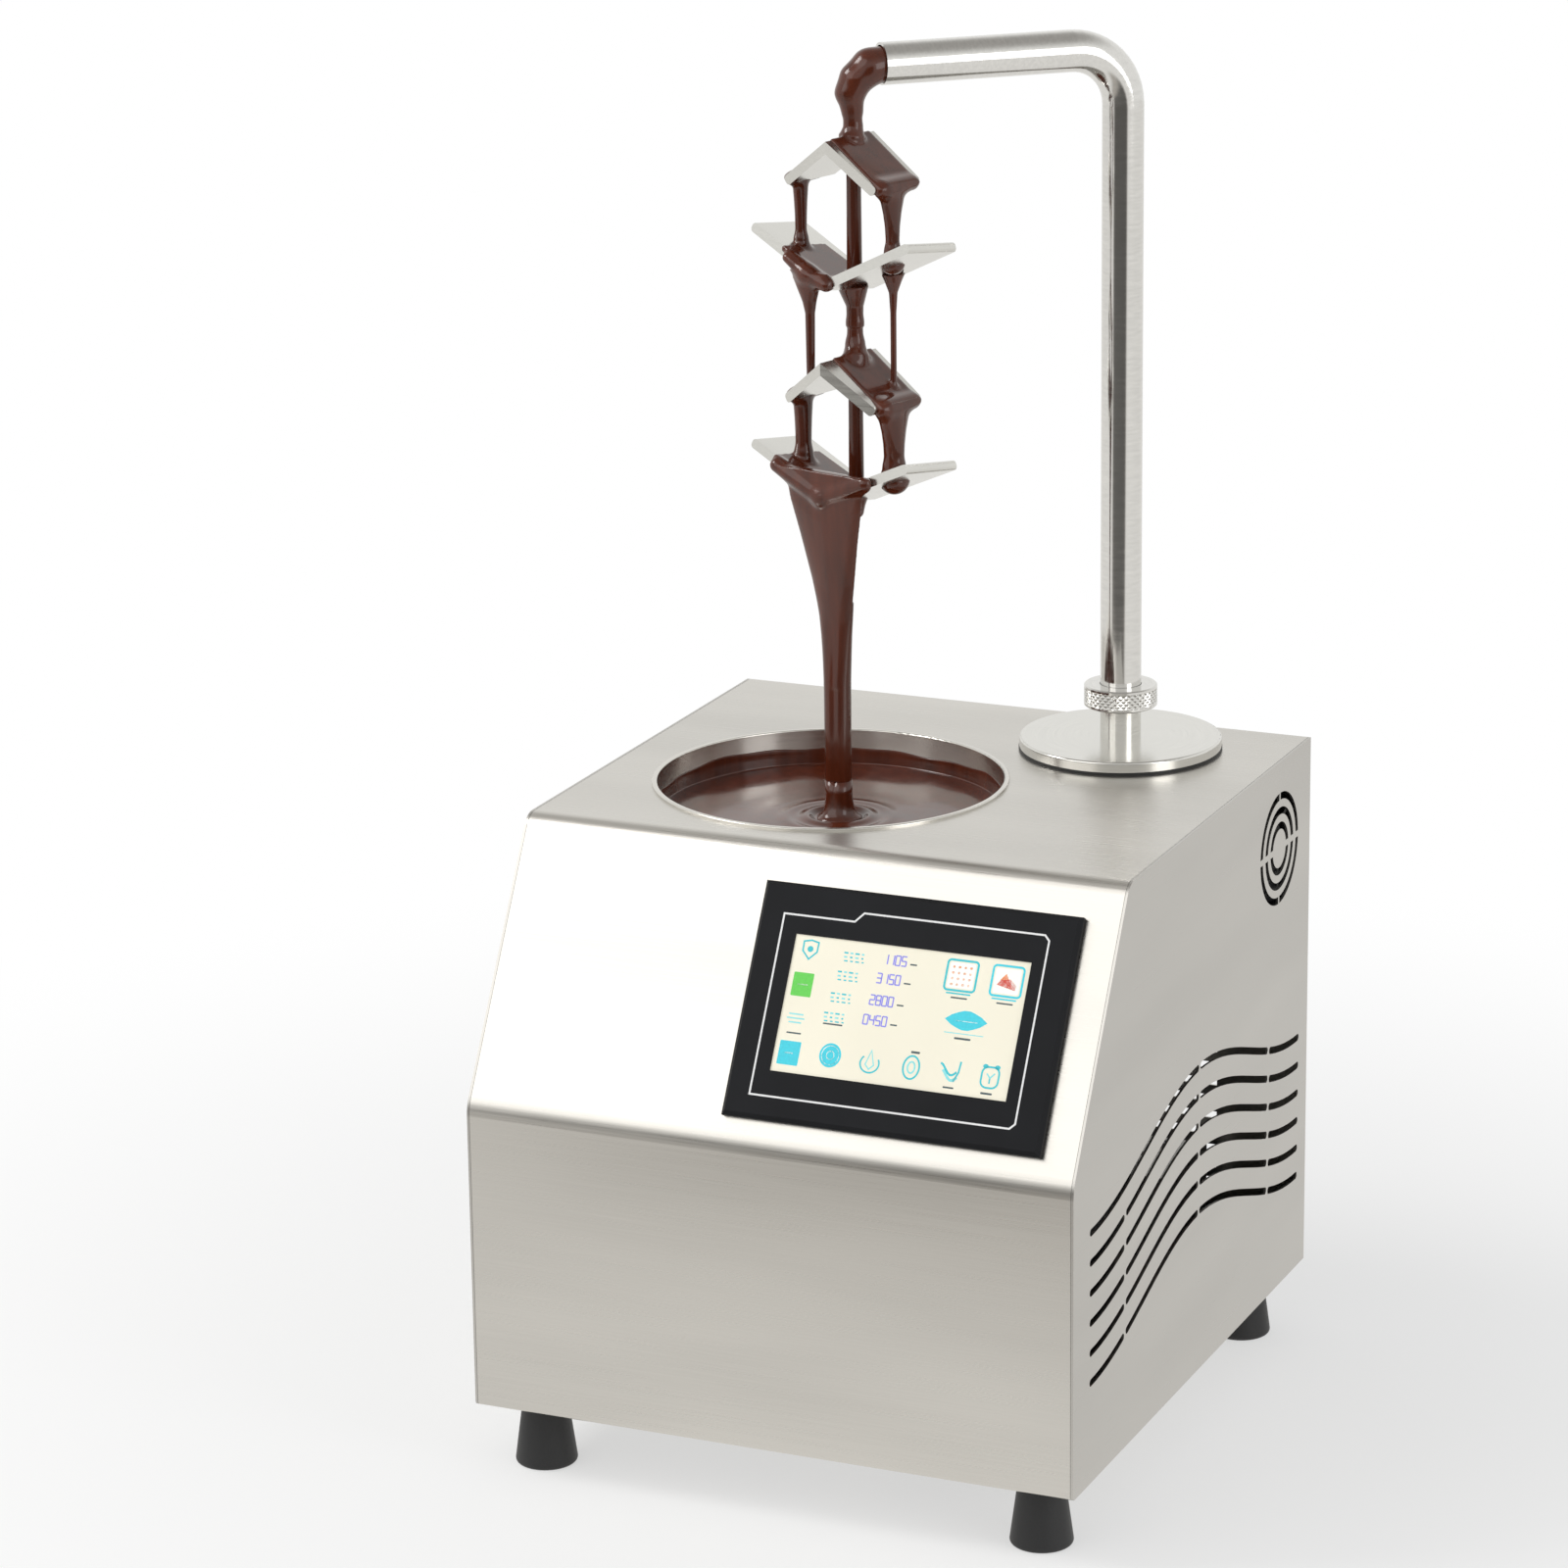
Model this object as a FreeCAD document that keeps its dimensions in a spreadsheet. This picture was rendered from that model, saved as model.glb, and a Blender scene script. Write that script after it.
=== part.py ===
"""Table-top chocolate tempering machine, as a parametric FreeCAD document.

Frame: millimetres, +Z up, origin on the table under the middle of the case.
-Y is the front with the sloping control panel, +X is the right-hand side.
"""
import FreeCAD, Part
import math
import os

import Sketcher
from FreeCAD import Vector

DOC = FreeCAD.newDocument("tempering_machine")
SHEET = DOC.addObject("Spreadsheet::Sheet", "dim")

# Driving sizes: name, value in millimetres or degrees, what it is.
SIZES = (
    # Case.
    ("case_width", 380, "outside width"),
    ("case_depth", 410, "outside depth"),
    ("case_height", 343, "height of the case above its feet"),
    ("front_height", 188.5, "height of the upright front wall"),
    ("slope_angle", 30, "lean of the control slope from upright, degrees"),
    ("sheet_thickness", 1.5, "stainless sheet of the case"),
    ("upper_bend", 11, "inside radius of the bend at the top of the slope"),
    ("lower_bend", 21, "inside radius of the bend under the slope"),
    ("tight_bend", 1.2, "inside radius of the bottom bend"),
    ("flange_width", 15, "return flanges of the case sheets"),
    ("panel_seam", 0.2, "seam between neighbouring sheets"),
    ("rear_inset", 6, "rear panel behind the rear edges"),
    ("base_thickness", 2, "base plate"),
    ("case_screw_length", 9, "screws of the rear panel and base"),
    ("screw_rise", 40, "rear panel screws from top and bottom"),
    ("base_screw_spacing", 240, "base plate screws, front to back"),
    # Wave slots.
    ("wave_rows", 6, "count of wave slots"),
    ("wave_low", 82, "middle of the lowest slot above the case bottom"),
    ("wave_pitch", 18.3, "height from slot to slot"),
    ("wave_rise", 20, "half the height of a wave"),
    ("wave_length", 370, "length of one whole wave"),
    ("wave_crest", 5, "place of the crest, front to back"),
    ("slot_width", 4.5, "width of a slot"),
    ("slot_front", 28.5, "slots start behind the front wall"),
    ("slot_rear", 18.5, "slots end before the rear edge"),
    ("bridge_spacing", 126, "from bridge to bridge along a slot"),
    ("bridge_width", 7, "metal left across a slot"),
    # Round vent and fan.
    ("vent_rear", 58, "centre of the round vent from the rear"),
    ("vent_height", 288, "centre of the round vent above the case bottom"),
    ("vent_radius", 33, "middle of its outer ring slot"),
    ("vent_rings", 3, "count of ring slots"),
    ("vent_pitch", 9.3, "from ring to ring"),
    ("vent_bridge", 4, "metal left across the rings"),
    ("fan_size", 80, "square fan frame"),
    ("fan_depth", 25, "depth of the fan frame"),
    ("fan_bore", 38, "radius of the fan's air way"),
    ("fan_hub", 17, "radius of the fan's hub"),
    ("fan_holes", 71.5, "spacing of the fan's fixing holes"),
    ("fan_stud", 1.9, "radius of the studs that hold the fan"),
    ("fan_blades", 7, "count of blades"),
    ("blade_thickness", 1.6, "fan blade"),
    ("blade_pitch", 38, "blade angle from the plane of the fan, degrees"),
    # Feet.
    ("foot_height", 42.5, "rubber feet below the case"),
    ("foot_radius", 19, "foot at the table"),
    ("foot_top_radius", 13, "foot under the case"),
    ("foot_inset", 31, "foot centres in from the case sides"),
    ("foot_edge", 2.5, "rounding at the table"),
    ("foot_recess", 14, "depth of the screw recess"),
    ("bolt_radius", 2.5, "M5 thread"),
    ("bolt_head", 4.3, "radius of an M5 head"),
    ("bolt_head_height", 3, "height of an M5 head"),
    ("nut_thickness", 4, "M5 nut"),
    ("hole_play", 0.3, "holes are this much larger in radius than their screws"),
    ("small_screw", 1.9, "M4 thread radius"),
    ("small_head", 3.6, "M4 head radius"),
    ("small_head_height", 2.2, "M4 head"),
    # Bowl.
    ("bowl_x", -50, "centre of the bowl"),
    ("bowl_y", 14, "centre of the bowl"),
    ("bowl_radius", 104.6, "inside radius"),
    ("bowl_wall", 1.2, "bowl sheet"),
    ("lip_width", 2.1, "lip that rests on the case"),
    ("lip_height", 1.6, "lip above the case"),
    ("bowl_wall_depth", 118, "straight wall below the case top"),
    ("bowl_depth", 150, "bottom of the cone below the case top"),
    ("bowl_corner", 25, "rounding between wall and cone"),
    ("fit_gap", 0.3, "clearance between pieces that don't touch"),
    ("seat_gap", 0.05, "clearance of a close seat"),
    ("band_thickness", 2, "heater bands"),
    ("band_height", 60, "bowl heater band"),
    ("band_drop", 45, "top of the heater band below the case top"),
    ("lagging_thickness", 8, "insulation round the bowl"),
    ("lagging_margin", 4, "insulation past the heater band, each way"),
    # Pump.
    ("pump_side", 101.4, "pump and spout axis from the right side"),
    ("pump_rear", 63.5, "pump and spout axis from the rear"),
    ("tube_radius", 12.5, "outside radius of the product tubes"),
    ("tube_wall", 1.5, "wall of the product tubes"),
    ("spigot_length", 18, "outlet under the bowl"),
    ("inlet_height", 139.5, "pump inlet above the case bottom"),
    ("inlet_reach", 46, "end of the pump inlet from the pump axis"),
    ("pipe_straight", 5, "straight run above the elbow"),
    ("clamp_radius", 19, "pipe clamps"),
    ("clamp_width", 16, "pipe clamps"),
    ("barrel_bore", 20.6, "inside radius of the pump barrel"),
    ("barrel_wall", 3.4, "wall of the pump barrel"),
    ("barrel_foot", 17, "barrel below its inlet"),
    ("barrel_flange", 50, "radius of the flange under the case top"),
    ("flange_thickness", 5, "flange under the case top"),
    ("stud_circle", 36, "radius of the stud circle"),
    ("stud_count", 4, "studs under the disc"),
    ("barrel_band_low", 35, "barrel heater above the inlet"),
    ("barrel_band_drop", 45, "barrel heater below the case top"),
    ("cap_radius", 30, "screwed cap under the barrel"),
    ("cap_height", 14, "screwed cap under the barrel"),
    ("cap_spigot", 3, "cap reaches into the barrel"),
    ("bush_radius", 10, "bronze bush in the cap"),
    ("seal_radius", 14, "shaft seal in the cap"),
    ("seal_thickness", 5, "shaft seal in the cap"),
    ("shaft_radius", 6, "pump and gearbox shafts"),
    ("shaft_fit", 0.05, "running fit of the shafts"),
    ("core_radius", 8, "core of the auger"),
    ("auger_pitch", 34, "auger"),
    ("auger_turns", 5.5, "auger"),
    ("flight_thickness", 4, "auger flight at its root"),
    ("coupling_radius", 13, "shaft coupling"),
    ("coupling_length", 24, "shaft coupling"),
    ("coupling_gap", 2.5, "coupling to its neighbours"),
    ("probe_drop", 32, "temperature probe below the case top"),
    ("probe_radius", 3, "temperature probe"),
    # Motor.
    ("bracket_thickness", 3, "motor bracket sheet"),
    ("bracket_width", 92, "motor bracket, side to side"),
    ("bracket_depth", 70, "motor bracket, front to back"),
    ("bracket_foot", 18, "feet of the motor bracket"),
    ("gearbox_size", 62, "gearbox, square"),
    ("gearbox_height", 52, "gearbox"),
    ("gearbox_boss", 15, "radius of the gearbox boss"),
    ("gearbox_screws", 46, "screw spacing on the gearbox"),
    ("gearbox_screw_depth", 6, "screws into the gearbox"),
    ("motor_radius", 26, "motor can"),
    ("motor_length", 105, "motor can"),
    # Disc, union and spout.
    ("disc_radius", 62, "flange disc on the case top"),
    ("disc_thickness", 6.5, "flange disc"),
    ("disc_edge", 1.5, "rounding of the disc's top edge"),
    ("gasket_thickness", 1.8, "black gasket under the disc"),
    ("stub_height", 31.5, "stub pipe end above the case top"),
    ("male_height", 4, "threaded ring on the stub"),
    ("collar_radius", 17.5, "spout collar inside the union nut"),
    ("collar_height", 3.5, "spout collar"),
    ("union_seal_thickness", 1.3, "seal in the union"),
    ("union_nut_radius", 22.5, "union nut"),
    ("union_nut_height", 13.5, "union nut"),
    ("union_nut_lip", 4.5, "thickness of the nut's top"),
    ("knurl_count", 36, "grooves round the nut"),
    ("knurl_depth", 0.8, "depth of the grooves"),
    ("spout_height", 431, "spout arm above the case top"),
    ("spout_bend", 33.5, "centre line radius of the spout bend"),
    ("spout_reach", 152.6, "spout mouth from the spout axis"),
    # Cascade.
    ("rod_radius", 3, "cascade rod"),
    ("rod_reach", 170, "cascade rod from the spout axis"),
    ("rod_bend", 12, "bend of the cascade rod"),
    ("rod_inside", 42, "rod inside the spout arm"),
    ("rod_end", 267, "lower end of the rod below the spout arm"),
    ("tier_one", 41, "ridge of the upper roof below the spout arm"),
    ("tier_two", 132.3, "fold of the upper trough below the spout arm"),
    ("tier_three", 171, "ridge of the lower roof below the spout arm"),
    ("tier_four", 260.4, "fold of the lower trough below the spout arm"),
    ("tier_turn", 16, "folds turned clockwise from front-to-back, degrees"),
    ("plate_thickness", 6, "tier plates"),
    ("plate_edge", 2.4, "rounding of the plates' free edges"),
    ("roof_back", 19, "roofs behind the rod, along the ridge"),
    ("upper_roof_front", 22, "upper roof's corners ahead of the rod"),
    ("upper_roof_nose", 4, "upper roof's ridge ahead of its corners"),
    ("lower_roof_front", 24, "lower roof's corners ahead of the rod"),
    ("lower_roof_nose", 9, "lower roof's ridge ahead of its corners"),
    ("roof_half", 35, "half span of a roof"),
    ("roof_drop", 25, "roof edges below the ridge"),
    ("trough_back", 17.5, "troughs behind the rod, along the fold"),
    ("upper_trough_front", 27.5, "upper trough ahead of the rod"),
    ("lower_trough_front", 30, "lower trough ahead of the rod"),
    ("trough_lean", 7.5, "troughs lean down to the back, degrees"),
    ("trough_half", 60, "half span of a trough"),
    ("upper_trough_rise", 29, "upper trough's edges above its fold"),
    ("lower_trough_rise", 26.5, "lower trough's edges above its fold"),
    # Chocolate.
    ("bath_drop", 20.5, "chocolate level below the case top"),
    ("neck_radius", 10.5, "chocolate leaving the spout"),
    ("neck_waist", 6, "neck above the upper roof"),
    ("strand_offset", 32, "side strands from the rod"),
    ("strand_radius", 4, "side strands"),
    ("coat_radius", 4.6, "chocolate round the rod"),
    ("stream_offset", 20, "main stream in front of the rod"),
    ("stream_radius", 8.5, "main stream"),
    ("stream_top", 14, "main stream under the lower trough"),
    ("stream_funnel", 60, "height of its funnel"),
    ("stream_low", 3, "lower end of the falling stream above the case top"),
    ("splash_radius", 22, "foot of the stream on the bath"),
    ("splash_height", 8, "foot of the stream on the bath"),
    # Control panel.
    ("panel_width", 196, "touch panel"),
    ("panel_length", 139.5, "touch panel, along the slope"),
    ("panel_x", 70.2, "centre of the touch panel"),
    ("panel_low", 15.3, "lower edge above the bend, along the slope"),
    ("panel_proud", 6, "bezel above its gasket"),
    ("panel_gasket", 0.8, "gasket under the bezel"),
    ("panel_chamfer", 2.5, "bezel edge"),
    ("screen_width", 145.5, "display"),
    ("screen_length", 81, "display, along the slope"),
    ("screen_rise", -0.5, "display above the middle of the panel"),
    ("screen_recess", 0.8, "display below the bezel face"),
    ("screen_thickness", 4, "display"),
    ("housing_margin", 9, "rear housing inside the bezel outline"),
    ("housing_depth", 26, "rear housing behind the slope"),
    ("window_play", 1.5, "opening round the rear housing"),
    ("clip_size", 14, "panel clamps"),
    ("clip_reach", 7, "panel clamps past the housing"),
    ("clip_inset", 30, "panel clamps from the housing corners"),
    # Electrics.
    ("supply_length", 159, "power supply"),
    ("supply_width", 98, "power supply"),
    ("supply_height", 38, "power supply"),
    ("supply_side", 66, "power supply centre from the left side"),
    ("supply_rear", 135, "power supply centre from the rear"),
    ("board_width", 120, "control board"),
    ("board_depth", 100, "control board"),
    ("board_thickness", 1.6, "control board"),
    ("board_side", 80, "control board centre from the left side"),
    ("board_front", 95, "control board centre from the front"),
    ("board_inset", 5, "standoffs from the board's edges"),
    ("standoff_height", 10, "board standoffs"),
    ("standoff_radius", 3, "board standoffs"),
    ("inlet_side", 60, "power inlet from the left side"),
    ("switch_side", 104, "rocker switch from the left side"),
    ("electric_height", 46, "inlet and switch above the case bottom"),
    ("inlet_width", 27.2, "power inlet body"),
    ("inlet_rise", 20, "power inlet body, height"),
    ("inlet_depth", 24, "power inlet body"),
    ("inlet_wall", 1.4, "power inlet wall"),
    ("inlet_recess", 17, "depth of the plug socket"),
    ("pin_length", 12, "contact pins"),
    ("bezel_width", 3.5, "flanges of inlet and switch"),
    ("bezel_thickness", 2, "flanges of inlet and switch"),
    ("switch_width", 13.2, "switch body"),
    ("switch_rise", 22, "switch body, height"),
    ("switch_depth", 18, "switch body"),
    ("rocker_radius", 9.7, "rocker"),
    ("rocker_width", 10.6, "rocker"),
    ("rocker_sink", 3, "rocker pivot behind the rear panel's face"),
    ("rocker_tilt", 12, "tilt of the rocker from its middle, degrees"),
    ("vent_slots", 9, "count of slots in the rear panel"),
    ("rear_slot_length", 90, "slots in the rear panel"),
    ("rear_slot_pitch", 11, "slots in the rear panel"),
)

for row, (name, number, meaning) in enumerate(SIZES, 1):
    SHEET.set(f"A{row}", name)
    SHEET.set(f"B{row}", str(number))
    SHEET.set(f"C{row}", meaning)
    SHEET.setAlias(f"B{row}", name)
DOC.recompute()

# Places and sizes that follow from the sheet, as expression text.
WALL = "dim.sheet_thickness"
SEAM = "dim.panel_seam"
TILT = "(dim.slope_angle * 1deg)"
SIDE = "(dim.case_width / 2)"
FRONT = "(-dim.case_depth / 2)"
REAR = "(dim.case_depth / 2)"
REAR_FACE = f"({REAR} - dim.rear_inset)"
BOTTOM = "dim.foot_height"
BASE_TOP = f"({BOTTOM} + {WALL} + dim.base_thickness)"
TOP = "(dim.foot_height + dim.case_height)"
BEND = "(dim.foot_height + dim.front_height)"
TOP_FRONT = f"({FRONT} + (dim.case_height - dim.front_height) * tan({TILT}))"
FOOT_X = f"({SIDE} - dim.foot_inset)"
FOOT_Y = f"({REAR} - dim.foot_inset)"
BORE = "(dim.tube_radius - dim.tube_wall)"
BOWL_OUTER = "(dim.bowl_radius + dim.bowl_wall)"
PUMP_X = f"({SIDE} - dim.pump_side)"
PUMP_Y = f"({REAR} - dim.pump_rear)"
VENT_Y = f"({REAR} - dim.vent_rear)"
# From the spout axis towards the bowl's centre.
AIM = f"atan2(dim.bowl_y - {PUMP_Y}; dim.bowl_x - {PUMP_X})"
AXES_APART = f"hypot(dim.bowl_x - {PUMP_X}; dim.bowl_y - {PUMP_Y})"
INLET = f"({BOTTOM} + dim.inlet_height)"
BARREL_LOW = f"({INLET} - dim.barrel_foot)"
CAP_LOW = f"({BARREL_LOW} - dim.cap_height)"
COUPLING_LOW = f"({CAP_LOW} - dim.coupling_gap - dim.coupling_length)"
BRACKET_TOP = f"({COUPLING_LOW} - dim.coupling_gap)"
GEARBOX_TOP = f"({BRACKET_TOP} - dim.bracket_thickness)"
DISC_LOW = f"({TOP} + dim.gasket_thickness)"
STUB_TOP = f"({TOP} + dim.stub_height)"
SPOUT_LOW = f"({STUB_TOP} + dim.union_seal_thickness)"
NUT_LOW = f"({SPOUT_LOW} + dim.collar_height + dim.fit_gap + dim.union_nut_lip - dim.union_nut_height)"
ARM = f"({TOP} + dim.spout_height)"
ROD_ARM = f"({ARM} - {BORE} + dim.rod_radius + dim.fit_gap)"
ROD_X = f"({PUMP_X} + dim.rod_reach * cos({AIM}))"
ROD_Y = f"({PUMP_Y} + dim.rod_reach * sin({AIM}))"
ROD_END = "(dim.spout_height - dim.rod_end)"
TIER_ONE = "(dim.spout_height - dim.tier_one)"
TIER_TWO = "(dim.spout_height - dim.tier_two)"
TIER_THREE = "(dim.spout_height - dim.tier_three)"
TIER_FOUR = "(dim.spout_height - dim.tier_four)"
STREAM_X = f"({ROD_X} - dim.stream_offset * sin(dim.tier_turn * 1deg))"
STREAM_Y = f"({ROD_Y} - dim.stream_offset * cos(dim.tier_turn * 1deg))"
STREAM_LOW = f"({TOP} + dim.stream_low)"
BATH = f"({TOP} - dim.bath_drop)"
SCREEN_FACE = "(dim.panel_gasket + dim.panel_proud)"


def value(text):
    """The number that an expression has now."""
    result = SHEET.evalExpression(str(text))
    return float(getattr(result, "Value", result))


def place(piece, x="0", y="0", z="0", axis="0; 0; 1", turn="0"):
    """Bind a piece's whole Placement to the sheet."""
    spot = f"vector({x}; {y}; {z})"
    piece.setExpression("Placement", f"placement({spot}; rotation(vector({axis}); {turn}))")


def new_body(label):
    body = DOC.addObject("PartDesign::Body", label)
    body.Label = label
    return body


def sketch(body, plane="XY_Plane", offset=None):
    """An empty sketch on one of the body's own planes."""
    result = body.newObject("Sketcher::SketchObject", f"{body.Name}_sketch")
    support = next(item for item in body.Origin.OriginFeatures if item.Role == plane)
    result.AttachmentSupport = [(support, "")]
    result.MapMode = "FlatFace"
    if offset:
        result.setExpression("AttachmentOffset.Base.z", offset)
    return result


def bind(target, kind, *where, size):
    """Add a dimension to a sketch and tie it to the sheet."""
    index = target.addConstraint(Sketcher.Constraint(kind, *where, value(size)))
    target.setExpression(f"Constraints[{index}]", str(size))


def bind_point(target, geometry, vertex, x, y):
    bind(target, "DistanceX", -1, 1, geometry, vertex, size=x)
    bind(target, "DistanceY", -1, 1, geometry, vertex, size=y)


def outline(target, corners):
    """A closed loop of straight lines through corners given as expressions."""
    points = [Vector(value(x), value(y), 0) for x, y in corners]
    first = target.GeometryCount
    count = len(points)
    for index in range(count):
        target.addGeometry(Part.LineSegment(points[index], points[(index + 1) % count]))
    for index in range(count):
        following = first + (index + 1) % count
        target.addConstraint(Sketcher.Constraint("Coincident", first + index, 2, following, 1))
    for index, (x, y) in enumerate(corners):
        bind_point(target, first + index, 1, x, y)


def rectangle(target, x, y, width, height):
    """A rectangle about its centre."""
    left, right = f"{x} - ({width}) / 2", f"{x} + ({width}) / 2"
    low, high = f"{y} - ({height}) / 2", f"{y} + ({height}) / 2"
    outline(target, [(left, low), (right, low), (right, high), (left, high)])


def circle(target, x, y, radius):
    centre = Vector(value(x), value(y), 0)
    index = target.addGeometry(Part.Circle(centre, Vector(0, 0, 1), value(radius)))
    bind_point(target, index, 3, x, y)
    bind(target, "Radius", index, size=radius)


def ring(target, outer, inner):
    circle(target, "0", "0", outer)
    circle(target, "0", "0", inner)


def pad(body, profile, length, both_ways=False, backwards=False):
    feature = body.newObject("PartDesign::Pad", f"{body.Name}_pad")
    feature.Profile = profile
    feature.setExpression("Length", str(length))
    feature.Reversed = backwards
    if both_ways:
        feature.SideType = "Symmetric"
    return feature


def pocket(body, profile, length=None, backwards=False):
    """Cut a profile into the body, right through it when no length is given."""
    feature = body.newObject("PartDesign::Pocket", f"{body.Name}_pocket")
    feature.Profile = profile
    feature.Reversed = backwards
    if length:
        feature.setExpression("Length", str(length))
    else:
        feature.Type = "ThroughAll"
    return feature


def around(body, feature, count):
    """Repeat a feature round the body's Z axis."""
    pattern = body.newObject("PartDesign::PolarPattern", f"{body.Name}_pattern")
    pattern.Originals = [feature]
    axis = next(item for item in body.Origin.OriginFeatures if item.Role == "Z_Axis")
    pattern.Axis = (axis, [""])
    pattern.Angle = 360
    pattern.setExpression("Occurrences", count)
    body.Tip = pattern
    return pattern


def spin(body, corners):
    """Revolve a profile of (radius, height) corners round the body's Z axis."""
    profile = sketch(body, "XZ_Plane")
    outline(profile, corners)
    feature = body.newObject("PartDesign::Revolution", f"{body.Name}_turned")
    feature.Profile = profile
    feature.ReferenceAxis = (profile, ["V_Axis"])
    feature.Angle = 360
    return feature


def turned(label, corners, x, y, z):
    body = new_body(label)
    spin(body, corners)
    place(body, x, y, z)
    return body


def round_edges(body, radius, wanted):
    """Fillet the edges that wanted(edge) picks."""
    DOC.recompute()
    base = body.Tip
    names = [f"Edge{number}" for number, edge in enumerate(base.Shape.Edges, 1) if wanted(edge)]
    feature = body.newObject("PartDesign::Fillet", f"{body.Name}_round")
    feature.Base = (base, names)
    feature.setExpression("Radius", str(radius))
    return feature


def chamfer_edges(body, size, wanted):
    DOC.recompute()
    base = body.Tip
    names = [f"Edge{number}" for number, edge in enumerate(base.Shape.Edges, 1) if wanted(edge)]
    feature = body.newObject("PartDesign::Chamfer", f"{body.Name}_chamfer")
    feature.Base = (base, names)
    feature.setExpression("Size", str(size))
    return feature


def near(first, second):
    return abs(first - second) < 1e-4


def lies_along(axis, **at):
    """Picks straight edges along an axis that pass through the given coordinates."""
    others = {name: value(text) for name, text in at.items()}

    def wanted(edge):
        ends = [vertex.Point for vertex in edge.Vertexes]
        if len(ends) != 2 or near(getattr(ends[0], axis), getattr(ends[1], axis)):
            return False
        return all(near(getattr(end, name), number) for end in ends for name, number in others.items())

    return wanted


def rim(radius, height):
    """Picks the round edge of a turned piece with this radius and height."""
    wide, high = value(radius), value(height)

    def wanted(edge):
        curve = edge.Curve
        return isinstance(curve, Part.Circle) and near(curve.Radius, wide) and near(curve.Center.z, high)

    return wanted


def cylinder(name, radius, length, x="0", y="0", z="0", axis="0; 0; 1", turn="0"):
    piece = DOC.addObject("Part::Cylinder", name)
    piece.setExpression("Radius", str(radius))
    piece.setExpression("Height", str(length))
    place(piece, x, y, z, axis, turn)
    return piece


def block(name, x, y, z, width, depth, height):
    """A box from its middle in X and Y and its underside."""
    piece = DOC.addObject("Part::Box", name)
    piece.setExpression("Length", str(width))
    piece.setExpression("Width", str(depth))
    piece.setExpression("Height", str(height))
    place(piece, f"{x} - ({width}) / 2", f"{y} - ({depth}) / 2", z)
    return piece


def cut(label, base, tool):
    result = DOC.addObject("Part::Cut", label)
    result.Base = base
    result.Tool = tool
    result.Label = label
    return result


def join(label, pieces):
    result = DOC.addObject("Part::MultiFuse", label)
    result.Shapes = pieces
    result.Label = label
    return result


def group(label, pieces):
    """Like pieces kept as separate solids of one node."""
    result = DOC.addObject("Part::Compound", label)
    result.Links = pieces
    result.Label = label
    return result


# Case.


def front_top_cover():
    """Front, control slope and top, bent from one sheet."""
    body = new_body("front_top_cover")
    lip = f"{FRONT} + dim.flange_width"
    inner_top_y = f"{TOP_FRONT} + {WALL} * tan((90deg - {TILT}) / 2)"
    inner_bend_z = f"{BEND} - {WALL} * tan({TILT} / 2)"
    side = sketch(body, "YZ_Plane")
    outline(side, [
        (lip, BOTTOM),
        (FRONT, BOTTOM),
        (FRONT, BEND),
        (TOP_FRONT, TOP),
        (REAR, TOP),
        (REAR, f"{TOP} - {WALL}"),
        (inner_top_y, f"{TOP} - {WALL}"),
        (f"{FRONT} + {WALL}", inner_bend_z),
        (f"{FRONT} + {WALL}", f"{BOTTOM} + {WALL}"),
        (lip, f"{BOTTOM} + {WALL}"),
    ])
    pad(body, side, f"2 * ({SIDE} - {WALL} - {SEAM})", both_ways=True)
    round_edges(body, "dim.upper_bend", lies_along("x", y=inner_top_y, z=f"{TOP} - {WALL}"))
    round_edges(body, "dim.lower_bend", lies_along("x", y=f"{FRONT} + {WALL}", z=inner_bend_z))
    round_edges(body, "dim.tight_bend", lies_along("x", y=f"{FRONT} + {WALL}", z=f"{BOTTOM} + {WALL}"))
    round_edges(body, f"dim.upper_bend + {WALL}", lies_along("x", y=TOP_FRONT, z=TOP))
    round_edges(body, f"dim.lower_bend + {WALL}", lies_along("x", y=FRONT, z=BEND))
    round_edges(body, f"dim.tight_bend + {WALL}", lies_along("x", y=FRONT, z=BOTTOM))
    holes = sketch(body)
    circle(holes, "dim.bowl_x", "dim.bowl_y", f"{BOWL_OUTER} + dim.fit_gap")
    circle(holes, PUMP_X, PUMP_Y, "dim.barrel_bore")
    for x, y in stud_places():
        circle(holes, x, y, "dim.bolt_radius + dim.hole_play")
    pocket(body, holes, backwards=True)
    window = sketch(body, "XZ_Plane")
    rectangle(window, "dim.panel_x", f"{BEND} + {PANEL_MIDDLE} * cos({TILT})",
              f"{HOUSING_WIDTH} + 2 * dim.window_play",
              f"({HOUSING_LENGTH} + 2 * dim.window_play) * cos({TILT})")
    pocket(body, window, backwards=True)
    return body


def stud_places():
    """Centres of the studs round the pump axis."""
    count = int(value("dim.stud_count"))
    for number in range(count):
        turn = f"({number} * 360deg / dim.stud_count + 45deg)"
        yield (f"{PUMP_X} + dim.stud_circle * cos({turn})",
               f"{PUMP_Y} + dim.stud_circle * sin({turn})")


def rear_screw_heights():
    low = f"{BOTTOM} + dim.screw_rise"
    high = f"{TOP} - dim.screw_rise"
    return low, f"({low} + {high}) / 2", high


SCREW_X = f"({SIDE} - {WALL} - dim.flange_width / 2)"


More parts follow.
